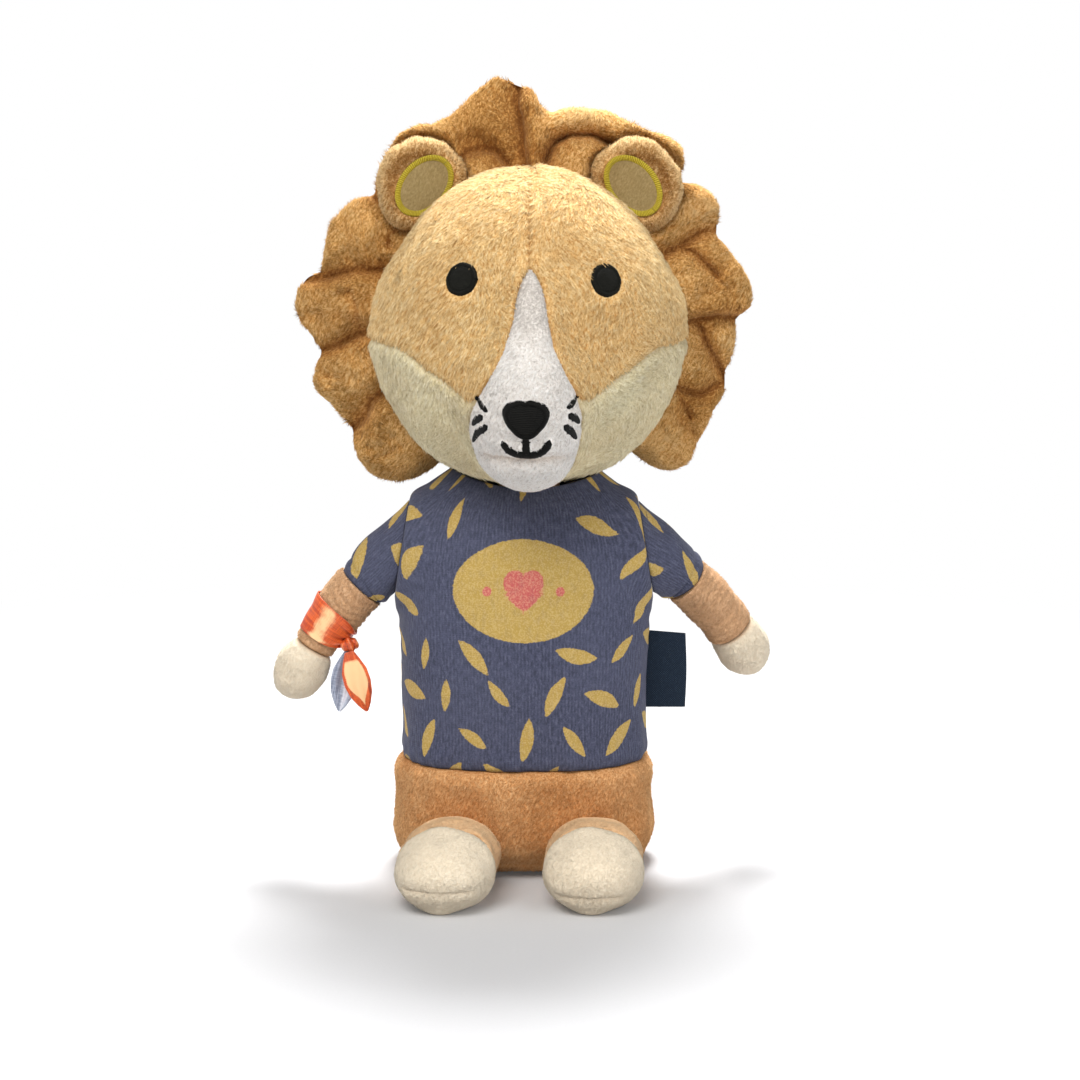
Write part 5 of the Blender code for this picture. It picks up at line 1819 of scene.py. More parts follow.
    def build(self) -> None:
        """Make and dress the mane and its pile."""
        paint, add = self.dresser.palette, self.dresser.add
        mane = self.surface()
        add("mane", mane, paint.mane, Body.HEAD, "mane_plush", ["mane"], 0.4)

        def keep(places: Array) -> Array:
            """Chance of a tuft: none inside the head, few behind."""
            away = places - np.array(FaceMap().centre)
            outer = ease(0.048, 0.056, np.hypot(away[:, 0], away[:, 2]))
            return outer * (0.45 + 0.55 * ease(0.030, 0.016, away[:, 1]))

        tufts = Pile(
            49500, length=0.0026, width=0.00044, lean=13, stray=0.20, seed=61
        ).grow(mane, self.nap, keep)
        add("mane_pile", tufts, paint.mane, Body.HEAD, "mane_plush")


# Body


@dataclass(frozen=True)
class Print:
    """The shirt's print: loose leaf-shaped dabs, and a plain sun with a heart on the chest."""

    seed: int = 17
    across: float = 0.0205
    upward: float = 0.0152
    length: float = 0.0155
    width: float = 0.0048

    def dab(self, u: Array, v: Array, middle: Pair, turn: float, size: float, bend: float) -> Array:
        """Distance outside one bent leaf: |q - bend p^2| - w (1 - p^2), p its share along it.

        Args:
            u: places across the cloth, in metres.
            v: places up the cloth.
            middle: place of its middle.
            turn: its slant in radians.
            size: size against the usual one.
            bend: how far it is bent, in metres.

        Returns:
            Distances in metres, below zero on the leaf.
        """
        a, b = u - middle[0], v - middle[1]
        half = self.length * size / 2
        p = (a * math.cos(turn) + b * math.sin(turn)) / half
        q = -a * math.sin(turn) + b * math.cos(turn) - bend * (p * p - 0.3)
        beyond = np.maximum(np.abs(p) - 1, 0) * half
        return np.abs(q) - self.width / 2 * size * (1 - np.minimum(p * p, 1.0)) + beyond

    def dabs(
        self, u: Array, v: Array, width: float, height: float,
        bare: Optional[tuple[float, float, float, float]] = None
    ) -> Array:
        """Least distance to a staggered field of dabs that leaves an oval bare.

        Args:
            u: place across the cloth, 0 in the middle.
            v: place up it.
            width: how wide the cloth is.
            height: how tall it is.
            bare: middle and radii of the oval.

        Returns:
            Distance in metres, below zero on a dab.
        """
        draw = np.random.default_rng(self.seed)
        least = np.full(u.shape, 0.01)
        rows = int(height / self.upward) + 2
        columns = int(width / self.across) + 2
        for row in range(rows):
            for column in range(-columns // 2, columns // 2 + 1):
                jitter = draw.uniform(-1, 1, 5)
                middle = (
                    (column + 0.5 * (row % 2)) * self.across + jitter[0] * 0.0022,
                    row * self.upward + jitter[1] * 0.0018
                )
                turn = math.radians((62 if (row + column) % 2 else -28) + 24 * jitter[2])
                if bare is not None:
                    off = math.hypot(
                        (middle[0] - bare[0]) / (bare[2] + 0.0065),
                        (middle[1] - bare[1]) / (bare[3] + 0.0065)
                    )
                    if off < 1:
                        continue
                least = np.minimum(
                    least, self.dab(u, v, middle, turn, 1 + 0.22 * jitter[3], 0.0010 * jitter[4])
                )
        return least

    def sun(self, u: Array, v: Array, middle: Pair, radii: Pair) -> Array:
        """Distance outside a plain oval."""
        share = np.hypot((u - middle[0]) / radii[0], (v - middle[1]) / radii[1])
        return (share - 1) * min(radii)

    def heart(self, u: Array, v: Array, middle: Pair, size: float) -> Array:
        """Distance outside a heart with a dot on either side.

        The heart is (x^2 + y^2 - 1)^3 - x^2 y^3 = 0, divided by the length of its gradient.

        Args:
            u: places across the cloth, in metres.
            v: places up the cloth.
            middle: place of its middle.
            size: size of it, in metres.

        Returns:
            Distances in metres.
        """
        x, y = (u - middle[0]) / size, (v - middle[1]) / size + 0.12
        core = x * x + y * y - 1
        value = core**3 - x * x * y**3
        slope_x = 6 * x * core**2 - 2 * x * y**3
        slope_y = 6 * y * core**2 - 3 * x * x * y * y
        heart = value / (np.hypot(slope_x, slope_y) + 0.15) * size
        for side in (-1, 1):
            dot = np.hypot(u - middle[0] - side * size * 2.1, v - middle[1]) - size * 0.26
            heart = np.minimum(heart, dot)
        return heart


@dataclass
class Trunk:
    """Shirt, trousers and neck."""

    dresser: Dresser
    shirt_width: float = 0.0920
    depth: float = 0.0664
    shirt_length: float = 0.0988
    seat_height: float = 0.0400
    fullness: float = 0.0012
    squareness: float = 2.5
    girth: float = 0.2790
    socket_depth: float = 0.0133
    collar: Triple = (0.0580, 0.0575, 0.0575)
    socket: float = 0.0116
    columns: int = 264
    shirt_shares: Triples = (
        (0.000, 0.960, 0.978), (0.120, 0.955, 0.994), (0.300, 0.960, 1.000), (0.450, 0.976, 0.994),
        (0.560, 0.992, 0.980), (0.650, 1.000, 0.955), (0.740, 0.990, 0.905), (0.810, 0.960, 0.840),
        (0.865, 0.925, 0.770), (0.910, 0.890, 0.680), (0.950, 0.835, 0.585), (0.985, 0.755, 0.495),
        (1.030, 0.630, 0.390), (1.090, 0.470, 0.270),
    )
    seat_shares: Triples = (
        (0.000, 0.800, 0.450), (0.020, 0.860, 0.620), (0.050, 0.905, 0.760), (0.095, 0.940, 0.870),
        (0.160, 0.966, 0.940), (0.240, 0.986, 0.985), (0.340, 1.000, 1.008), (0.520, 1.000, 1.014),
        (0.820, 0.990, 1.007), (1.000, 0.955, 0.978),
    )

    def ring(self) -> Array:
        """The body's outline seen from above, as a unit superellipse in even steps of length.

        It starts at the back and x = |cos|^0.8, y = |sin|^0.8 with their signs.

        Returns:
            Pairs of x and y from -1 to 1.
        """
        angle = np.linspace(0, 2 * math.pi, 4001) + math.pi / 2
        power = 2 / self.squareness
        x = np.sign(np.cos(angle)) * np.abs(np.cos(angle)) ** power
        y = np.sign(np.sin(angle)) * np.abs(np.sin(angle)) ** power
        run = np.hypot(np.diff(x) * self.shirt_width, np.diff(y) * self.depth)
        run = np.concatenate([[0.0], np.cumsum(run)])
        even = np.linspace(0, run[-1], self.columns + 1)[:-1]
        return np.stack([np.interp(even, run, x), np.interp(even, run, y)], axis=-1)

    def levels(
        self, table: Table, rises: Array, bottom: float, height: float, width: float, blur: float
    ) -> Array:
        """Rings at level shares of a height, from rows of height, width and depth share.

        Args:
            table: rows of height, width and depth share.
            rises: shares of the height.
            bottom: height of the first ring.
            height: height of the whole, in metres.
            width: width of the whole.
            blur: how far corners are rounded off, as a share.

        Returns:
            Rings of points.
        """
        ring = self.ring()
        wide = along_table(table, 1, rises, blur)[:, None] * width / 2
        deep = along_table(table, 2, rises, blur)[:, None] * self.depth / 2
        x, y = ring[None, :, 0] * wide, ring[None, :, 1] * deep
        return np.stack([x, y, 0 * x + bottom + rises[:, None] * height], axis=-1)

    def meet_armholes(self, points: Array) -> tuple[Array, Array]:
        """Draw the cloth round each armhole out to its plane, and let none but a boss stand over.

        With r the reach beyond the plane and l its limit, r becomes r + (l - r) pull.

        Args:
            points: the shirt's points.

        Returns:
            The moved points, and how far each lies under a sleeve, from 0 to 1.
        """
        under = np.zeros(points.shape[:-1])
        for side in Side:
            out = np.array([side.value * math.cos(ARMHOLE_TILT), 0, math.sin(ARMHOLE_TILT)])
            local = points - side.mirrored(SHOULDER)
            reach = local @ out
            across = np.linalg.norm(local - reach[..., None] * out, axis=-1)
            pull = ease(0.0245, 0.0172, across) * ease(-0.013, -0.007, reach)
            limit = 0.0014 * ease(0.0135, 0.0115, across) - 0.00005
            step = (limit - reach) * np.maximum(pull, reach > limit)
            points = points + step[..., None] * out
            under = np.maximum(under, ease(0.0182, 0.0166, across) * (pull > 0.5))
        return points, under

    def shirt(self) -> Surface:
        """The shirt: level rings, flat at the armholes, sunk where the head and neck sit.

        Returns:
            The closed surface, with its print and creases.
        """
        rises = np.concatenate([np.linspace(0, 0.9, 112), np.linspace(0.905, 1.085, 32)])
        bottom = self.seat_height + 0.00015
        rings = self.levels(self.shirt_shares, rises, bottom, self.shirt_length, self.shirt_width, 0.02)
        girth = self.girth
        u = (np.arange(self.columns) / self.columns - 0.5) * girth + 0 * rings[..., 0]
        v = rings[..., 2].copy()
        away = unit(rings * np.array([1.0, 1.0, 0.0]))
        seam = np.abs(np.abs(u) - girth / 4)
        height = rises[:, None] * self.shirt_length
        beside = ease(0.018, 0.013, np.abs(v - 0.0707)) * (u > 0)
        lift = (1.1 * beside - 1) * 0.0009 * fade(seam, 0.0009) + 0.0003 * bell(seam - 0.003, 0.0025)
        lift += -0.0007 * fade(height, 0.0009) + 0.0003 * bell(height - 0.0035, 0.003)
        lift += 0.00045 * Ripple(0.026, 71, (1, 1, 0.7)).at(rings)
        pull = 0.00028 * np.cos(2 * math.pi * u / 0.0105 + 2 * Ripple(0.03, 73).at(rings))
        lift += pull * (bell(height, 0.010) + 0.8 * bell(height - 0.092, 0.016))
        gather = np.exp(-np.hypot(np.abs(rings[..., 0]) - 0.044, (rings[..., 2] - 0.099) * 0.8) / 0.009)
        lift += -0.0009 * gather * (0.5 + 0.5 * np.cos(rings[..., 2] / 0.0011))
        rings = rings + away * lift[..., None]
        rings, under = self.meet_armholes(rings)
        rings, cap_u, cap_v = self.sink_collar(rings, u, v)
        art = Print()
        mustard = art.dabs(
            cap_u + 0.5 * art.across, cap_v - 0.037, girth, 0.115,
            (0.5 * art.across, 0.068, 0.027, 0.0185)
        )
        mustard = np.minimum(mustard, art.sun(cap_u, cap_v, (0.0, 0.105), (0.0270, 0.0180)))
        coral = art.heart(cap_u, cap_v, (0.0, 0.105), 0.0066)
        # Painted shade along the side seams, at the hem and where the sleeves cover the armholes.
        edge = fade(np.abs(cap_u) - girth / 4, 0.0007) * 0.8
        edge = np.maximum(edge, np.exp(-(cap_v - bottom) / 0.0008))
        edge[: len(under)] = np.maximum(edge[: len(under)], under)
        values = {"mustard": mustard, "coral": coral, "crease": edge}
        low = np.array([0, 0, bottom])
        high = np.array([*FaceMap().centre[:2], self.pit()])
        return loft(rings, values, low, high)

    def pit(self) -> float:
        """Height of the bottom of the neck's socket."""
        return FaceMap().centre[2] - FaceMap().radii[2] - self.socket_depth

    def sink_collar(self, rings: Array, u: Array, v: Array) -> tuple[Array, Array, Array]:
        """Push points out of the head's room, and add rings that run in to the neck's socket.

        Args:
            rings: the shirt's rings.
            u: places across the cloth, in metres.
            v: places up the cloth.

        Returns:
            All rings, and the cloth's places across and up at their points.
        """
        middle = np.array(FaceMap().centre)
        radii = np.array(self.collar)
        inner = (rings[-1] - middle) * np.array([1.0, 1.0, 0.0])
        far = np.linalg.norm(inner[..., :2], axis=-1, keepdims=True)
        extra = []
        for share in np.linspace(0.06, 1.0, 17):
            shrunk = inner * (1 - share * (1 - self.socket / far))
            shrunk[:, 2] = rings[-1, :, 2].mean() - middle[2]
            extra.append(shrunk + middle)
        stack = np.concatenate([rings, np.stack(extra)])
        away = (stack - middle) / radii
        depth = np.linalg.norm(away, axis=-1, keepdims=True)
        under = stack[..., 2:3] < middle[2]
        stack = np.where((depth < 1) & under, middle + away / depth * radii, stack)
        wall = stack[-1][None].repeat(3, axis=0).copy()
        wall[:, :, 2] = np.array([self.pit() + 0.006, self.pit() + 0.0006, self.pit()])[:, None]
        wall[2, :, :2] = middle[:2] + (wall[2, :, :2] - middle[:2]) * 0.9
        stack = np.concatenate([stack, wall])
        more = len(stack) - len(rings)
        up = v[-1:] + np.linspace(0.001, 0.02, more)[:, None]
        return stack, np.concatenate([u, u[-1:].repeat(more, 0)]), np.concatenate([v, up])

    def seat(self) -> Surface:
        """The stuffed trousers: level rings on a flat base, hollowed for the legs' roots.

        Returns:
            The closed surface.
        """
        rises = np.concatenate([[0.0005], np.linspace(0.006, 0.994, 62), [1.0]])
        width = self.shirt_width + self.fullness
        height = self.seat_height - 0.00015
        rings = self.levels(self.seat_shares, rises, 0.0, height, width, 0.012)
        z = rings[..., 2]
        away = unit(rings * np.array([1.0, 1.0, 0.0]))
        angle = np.arange(self.columns) / self.columns - 0.5
        seam = np.abs(np.abs(angle) - 0.25)[None, :] * self.girth
        lift = -0.0005 * fade(z - 0.0062, 0.0008) * ease(0.0, 0.004, z)
        lift += -0.0009 * fade(seam, 0.0010) - 0.0016 * np.exp(-(height - z) / 0.0011)
        lift += 0.0005 * bell(z - 0.0110, 0.004) + 0.0005 * bell(height - z - 0.004, 0.003)
        lift += 0.0007 * Ripple(0.024, 81).at(rings) + 0.00006 * Ripple(0.006, 82).at(rings)
        pull = np.cos(2 * math.pi * angle * self.girth / 0.0115)[None, :] * 0.00035
        lift += pull * (bell(height - z, 0.008) + bell(z - 0.0062, 0.005))
        rings = rings + away * (lift * ease(0.0, 0.003, z))[..., None]
        rings = np.concatenate([rings[:1] * np.array([0.55, 0.55, 1.0]), rings])
        rings[:2, :, 2] = 0.0
        crown = rings[-1] * np.array([0.93, 0.90, 1.0])
        rings = np.concatenate([rings, crown[None]])
        for side, turn in ((Side.LEFT, -2.0), (Side.RIGHT, -6.0)):
            rings = self.hollow(rings, side, turn)
        z = rings[..., 2]
        # Painted shade at the base seam, under the shirt's hem and along the side seams; painted light low
        # down between the legs.
        crease = np.maximum(0.5 * fade(z - 0.0062, 0.0007), np.exp(-(height - z) / 0.0010))
        crease = np.maximum(crease, fade(seam, 0.0008) + 0 * z) * 0.8
        values = {
            "crease": crease,
            "shade": 2.0 * ease(0.017, 0.006, z) * ease(0.016, 0.008, np.abs(rings[..., 0] - 0.002))
        }
        return loft(rings, values, np.zeros(3), np.array([0, 0, height]))

    def hollow(self, points: Array, side: Side, turn: float) -> Array:
        """Push points out of the ellipsoid that a leg's root turns in.

        Args:
            points: points in the toy's frame.
            side: which leg's root.
            turn: the leg's turn about Z, in degrees.

        Returns:
            The moved points.
        """
        pivot = side.mirrored(HIP)
        spin = np.array(Matrix.Rotation(math.radians(turn), 3, "Z"))
        local = (points - pivot) @ spin
        radii = np.array([0.0173, 0.0135, 0.0135])
        depth = np.linalg.norm(local / radii, axis=-1, keepdims=True)
        moved = local / np.maximum(depth, 1e-6)
        back = np.sqrt(np.clip(1 - (local[..., 0] / radii[0]) ** 2 - (local[..., 2] / radii[2]) ** 2, 0, 1))
        straight = local.copy()
        straight[..., 1] = np.maximum(local[..., 1], back * radii[1])
        moved = np.where(np.abs(local[..., 2:3]) < radii[2] * 0.9, straight, moved)
        return np.where(depth < 1, pivot + moved @ spin.T, points)

    def nap(self, places: Array, out: Array) -> Array:
        """Direction of the trousers' pile: down, wandering."""
        wander = Ripple(0.02, 85).at(places)
        return np.stack([wander, 0 * wander, -1 + 0.3 * wander], axis=-1)

    def build(self) -> None:
        """Make and dress shirt, trousers and neck."""
        paint, add = self.dresser.palette, self.dresser.add
        add("torso", self.shirt(), paint.jersey, Body.TRUNK, "shirt_jersey", ["torso"], 0.9)
        seat = self.seat()
        add("seat", seat, paint.seat, Body.TRUNK, "tan_velour", ["seat"], 0.9)

        def between(places: Array) -> Array:
            """1 on the seat's side, 0 on the floor and under the shirt."""
            return ease(0.0008, 0.003, places[:, 2]) * ease(0.0402, 0.0399, places[:, 2])

        nap = Pile(42000, length=0.0013, width=0.00030, lean=20, stray=0.6, seed=87)
        tufts = nap.grow(seat, self.nap, between)
        add("seat_pile", tufts, paint.seat, Body.TRUNK, "tan_velour")
        around = circle(64)[None, :]
        low = self.pit() + 0.0003
        rise = np.linspace(low, 0.1953 - 0.0560, 24)[:, None]
        radius = 0.0108 - 0.0022 * np.exp(-(rise - low) / 0.0012) + 0.0002 * np.cos(9 * around)
        x_middle, y_middle, _ = FaceMap().centre
        x, y = x_middle + radius * np.cos(around), y_middle + radius * np.sin(around)
        rings = np.stack([x, y, rise + 0 * x], axis=-1)
        neck = loft(rings, None, np.array([x_middle, y_middle, low]), np.array([x_middle, y_middle, 0.1395]))
        add("neck", neck, paint.velour, Body.NECK, "tan_velour", ["neck"], 0.9)


# Arms, ribbon, legs and label


@dataclass
class Arm:
    """Sleeve, forearm and hand of one arm, in the frame of its armhole."""

    dresser: Dresser
    side: Side
    swing: float
    wrist: float
    out: float = 0.0127
    down: float = 0.0166
    hem_turn: float = math.radians(56)
    hand_turn: float = math.radians(75)
    hem: float = 0.0178
    armhole: Pair = (0.0340, 0.0310)
    forearm: Pair = (0.0283, 0.0186)
    hand: Pair = (0.0205, 0.0194)

    def to_toy(self, points: Array) -> Array:
        """Points out of the armhole's frame: tilted about Y, then swung back about X.

        Args:
            points: points in the armhole's frame.

        Returns:
            Points in the toy's frame.
        """
        tilt = Matrix.Rotation(-self.side.value * ARMHOLE_TILT, 3, "Y")
        turn = np.array(tilt @ Matrix.Rotation(self.swing, 3, "X"))
        return points @ turn.T + self.side.mirrored(SHOULDER)

    def middle(self, out: Array, down: Array) -> Array:
        """Points of the arm's middle line."""
        return np.stack([self.side.value * out, 0 * out, -down], axis=-1)

    def rings(self, out: Array, down: Array, turn: Array, tall: Array, deep: Array, points: int) -> Array:
        """Ovals across the arm: middle + up tall cos a + Y deep sin a.

        Args:
            out: distance out from the pivot.
            down: distance below the pivot.
            turn: heading in radians.
            tall: half height of each oval.
            deep: half depth of each oval.
            points: how many points an oval has.

        Returns:
            Rings of points in the armhole's frame.
        """
        around = np.linspace(0, 2 * math.pi, points, endpoint=False)[None, :, None]
        up = np.stack([self.side.value * np.sin(turn), 0 * turn, np.cos(turn)], axis=-1)
        level = np.array([0.0, 1.0, 0.0])
        tall, deep = tall[..., None, None], deep[..., None, None]
        return (
            self.middle(out, down)[:, None] + up[:, None] * tall * np.cos(around)
            + level * deep * np.sin(around)
        )

    def course(self, length: Array) -> tuple[Array, Array, Array]:
        """Middle line past the hem: heading hem_turn + (hand_turn - hem_turn) l / whole.

        Args:
            length: distances from the hem, in metres.

        Returns:
            Distance out and down, and the heading in radians.
        """
        whole = self.forearm[0] + self.hand[0]
        fine = np.linspace(0, whole * 1.05, 400)
        turn = self.hem_turn + (self.hand_turn - self.hem_turn) * fine / whole
        step = fine[1]
        out = self.out + np.concatenate([[0], np.cumsum(np.cos(turn[:-1] + 0.0004) * step)])
        down = self.down + np.concatenate([[0], np.cumsum(np.sin(turn[:-1] + 0.0004) * step)])
        return np.interp(length, fine, out), np.interp(length, fine, down), np.interp(length, fine, turn)

    def arm_radius(self, length: Array) -> Array:
        """Half width of the forearm, drawn in to the wrist as a cosine."""
        draw = (1 - np.cos(math.pi * np.clip((length / self.forearm[0] - 0.25) / 0.60, 0, 1))) / 2
        return self.forearm[1] / 2 + draw * (self.wrist - self.forearm[1]) / 2

    def sleeve(self) -> Surface:
        """Short sleeve from the armhole to its hem, with its edge turned in.

        Returns:
            The closed surface.
        """
        share = np.concatenate([np.linspace(0, 1, 78), [1.0, 1.0]])
        tall = self.armhole[0] / 2 + share * (self.hem - self.armhole[0]) / 2
        deep = self.armhole[1] / 2 + share * (self.hem - self.armhole[1]) / 2
        length = share * math.hypot(self.out, self.down)
        tall[-2:] *= (0.93, 0.86)
        deep[-2:] *= (0.93, 0.86)
        rings = self.rings(
            0.00005 + self.out * share, self.down * share, self.hem_turn * share**1.6, tall, deep, 150
        )
        centre = rings.mean(axis=1, keepdims=True)
        away = unit(rings - centre)
        end = length[-1] - length
        lift = -0.0003 * fade(length, 0.0007) - 0.0006 * fade(end, 0.0008)
        lift += -0.0004 * bell(end - 0.0030, 0.0006) + 0.0002 * bell(end - 0.0015, 0.0010)
        lift = lift[:, None] + 0.0004 * Ripple(0.016, 91 + self.side.value).at(rings)
        around = circle(150)[None, :]
        lift += 0.0004 * np.cos(9 * around) * bell(length, 0.0035)[:, None]
        lift[-2:] = 0
        lift = np.minimum(lift, 0.0006)
        rings = rings + away * lift[..., None]
        u = (around / (2 * math.pi) - 0.5) * 0.082 + 0 * rings[..., 0]
        v = length[:, None] + 0 * u
        mustard = Print(seed=23 + self.side.value).dabs(u, v - 0.001, 0.082, 0.024)
        # Painted shade at the armhole seam and above the hem.
        crease = np.maximum(fade(length, 0.0007), 0.5 * fade(end - 0.003, 0.0006))
        values = {"mustard": mustard, "coral": 0 * u + 0.01, "crease": crease[:, None] + 0 * u}
        tucked = ((0.4, 0.0022), (0.82, 0.0022), (0.9, 0.0003))
        inner = np.stack([rings[0] * k + [self.side.value * push, 0, 0] for k, push in tucked])
        rings = self.to_toy(np.concatenate([inner, rings]))
        values = {key: np.concatenate([value[:1].repeat(3, axis=0), value]) for key, value in values.items()}
        return loft(rings, values)

    def lower(self) -> Surface:
        """Forearm with fine creases across it where the cloth is drawn in.

        Returns:
            The closed surface.
        """
        length = np.linspace(0.0003, self.forearm[0], 104)
        out, down, turn = self.course(length)
        radius = self.arm_radius(length)
        rings = self.rings(out, down, turn, radius, radius, 110)
        away = unit(rings - rings.mean(axis=1, keepdims=True))
        around = circle(110)[None, :]
        wander = Ripple(0.012, 95 + self.side.value).at(rings)
        wave = np.cos(2 * math.pi * length[:, None] / 0.0031 + 2.8 * wander + 0.6 * np.cos(2 * around))
        lift = 0.00011 * wave + 0.00035 * wander
        lift -= 0.0006 * np.exp(-(self.forearm[0] - length) / 0.0008)[:, None]
        lift = np.minimum(lift, 0.00045)
        rings = self.to_toy(rings + away * lift[..., None])
        # Painted shade in the crinkles and at the wrist.
        crease = np.clip(-wave, 0, 1) ** 2 * 0.12
        crease = np.maximum(crease, np.exp(-(self.forearm[0] - length) / 0.0006)[:, None])
        return loft(rings, {"crease": crease})

    def mitten(self) -> Surface:
        """Rounded hand that swells from the wrist and closes as a half ellipse.

        Returns:
            The closed surface.
        """
        share = np.sin(np.linspace(0, math.pi / 2, 76))[:-1]
        swell = np.sin(math.pi / 2 * np.minimum(1.0, share / 0.45))
        radius = self.wrist / 2 + swell * (self.hand[1] - self.wrist) / 2
        radius = radius * np.sqrt(1 - np.maximum(0.0, (share - 0.45) / 0.55) ** 2)
        length = self.forearm[0] + 0.0003 + share * self.hand[0]
        out, down, turn = self.course(length)
        rings = self.rings(out, down, turn, radius, radius, 110)
        centre = rings.mean(axis=1, keepdims=True)
        away = unit(rings - centre)
        around = circle(110)[None, :]
        seam = np.abs(np.sin(around)) * radius[:, None]
        lift = -0.0007 * np.exp(-(share * self.hand[0]) / 0.0009)[:, None] + 0 * around
        lift = lift - 0.0004 * fade(seam, 0.0007) + 0.0003 * Ripple(0.011, 97).at(rings)
        rings = rings + away * (lift * np.clip(radius / 0.004, 0, 1)[:, None])[..., None]
        # Painted shade along the side seam and at the wrist.
        crease = np.maximum(fade(seam, 0.0006) * 0.5, np.exp(-(share * self.hand[0]) / 0.0008)[:, None])
        tip_out, tip_down, _ = self.course(np.array([self.forearm[0] + 0.0003 + self.hand[0]]))
        tip = self.to_toy(self.middle(tip_out, tip_down))[0]
        rings = self.to_toy(rings)
        return loft(rings, {"crease": crease}, end=tip)

    def build(self) -> None:
        """Make and dress the arm."""
        paint, add, label = self.dresser.palette, self.dresser.add, self.side.label
        body = Body.ARM_RIGHT if self.side is Side.RIGHT else Body.ARM_LEFT
        add(f"sleeve_{label}", self.sleeve(), paint.jersey, body, "shirt_jersey", [f"sleeve_{label}"], 0.8)
        lower = self.lower()
        add(f"forearm_{label}", lower, paint.velour, body, "tan_velour", [f"forearm_{label}"], 0.8)
        hand = self.mitten()
        add(f"hand_{label}", hand, paint.cream, body, "cream_velour", [f"hand_{label}"], 0.8)

        def nap(places: Array, out: Array) -> Array:
            """Direction of the arm's nap: down and outwards, wandering."""
            wander = Ripple(0.012, 99).at(places)
            return np.stack([0.4 + wander, 0.4 * wander, -1 + 0 * wander], axis=-1)

        fine = Pile(9000, length=0.0009, width=0.00026, stray=0.8, lean=20, seed=101)
        add(f"forearm_pile_{label}", fine.grow(lower, nap), paint.velour, body, "tan_velour")
        add(f"hand_pile_{label}", fine.grow(hand, nap), paint.cream, body, "cream_velour")


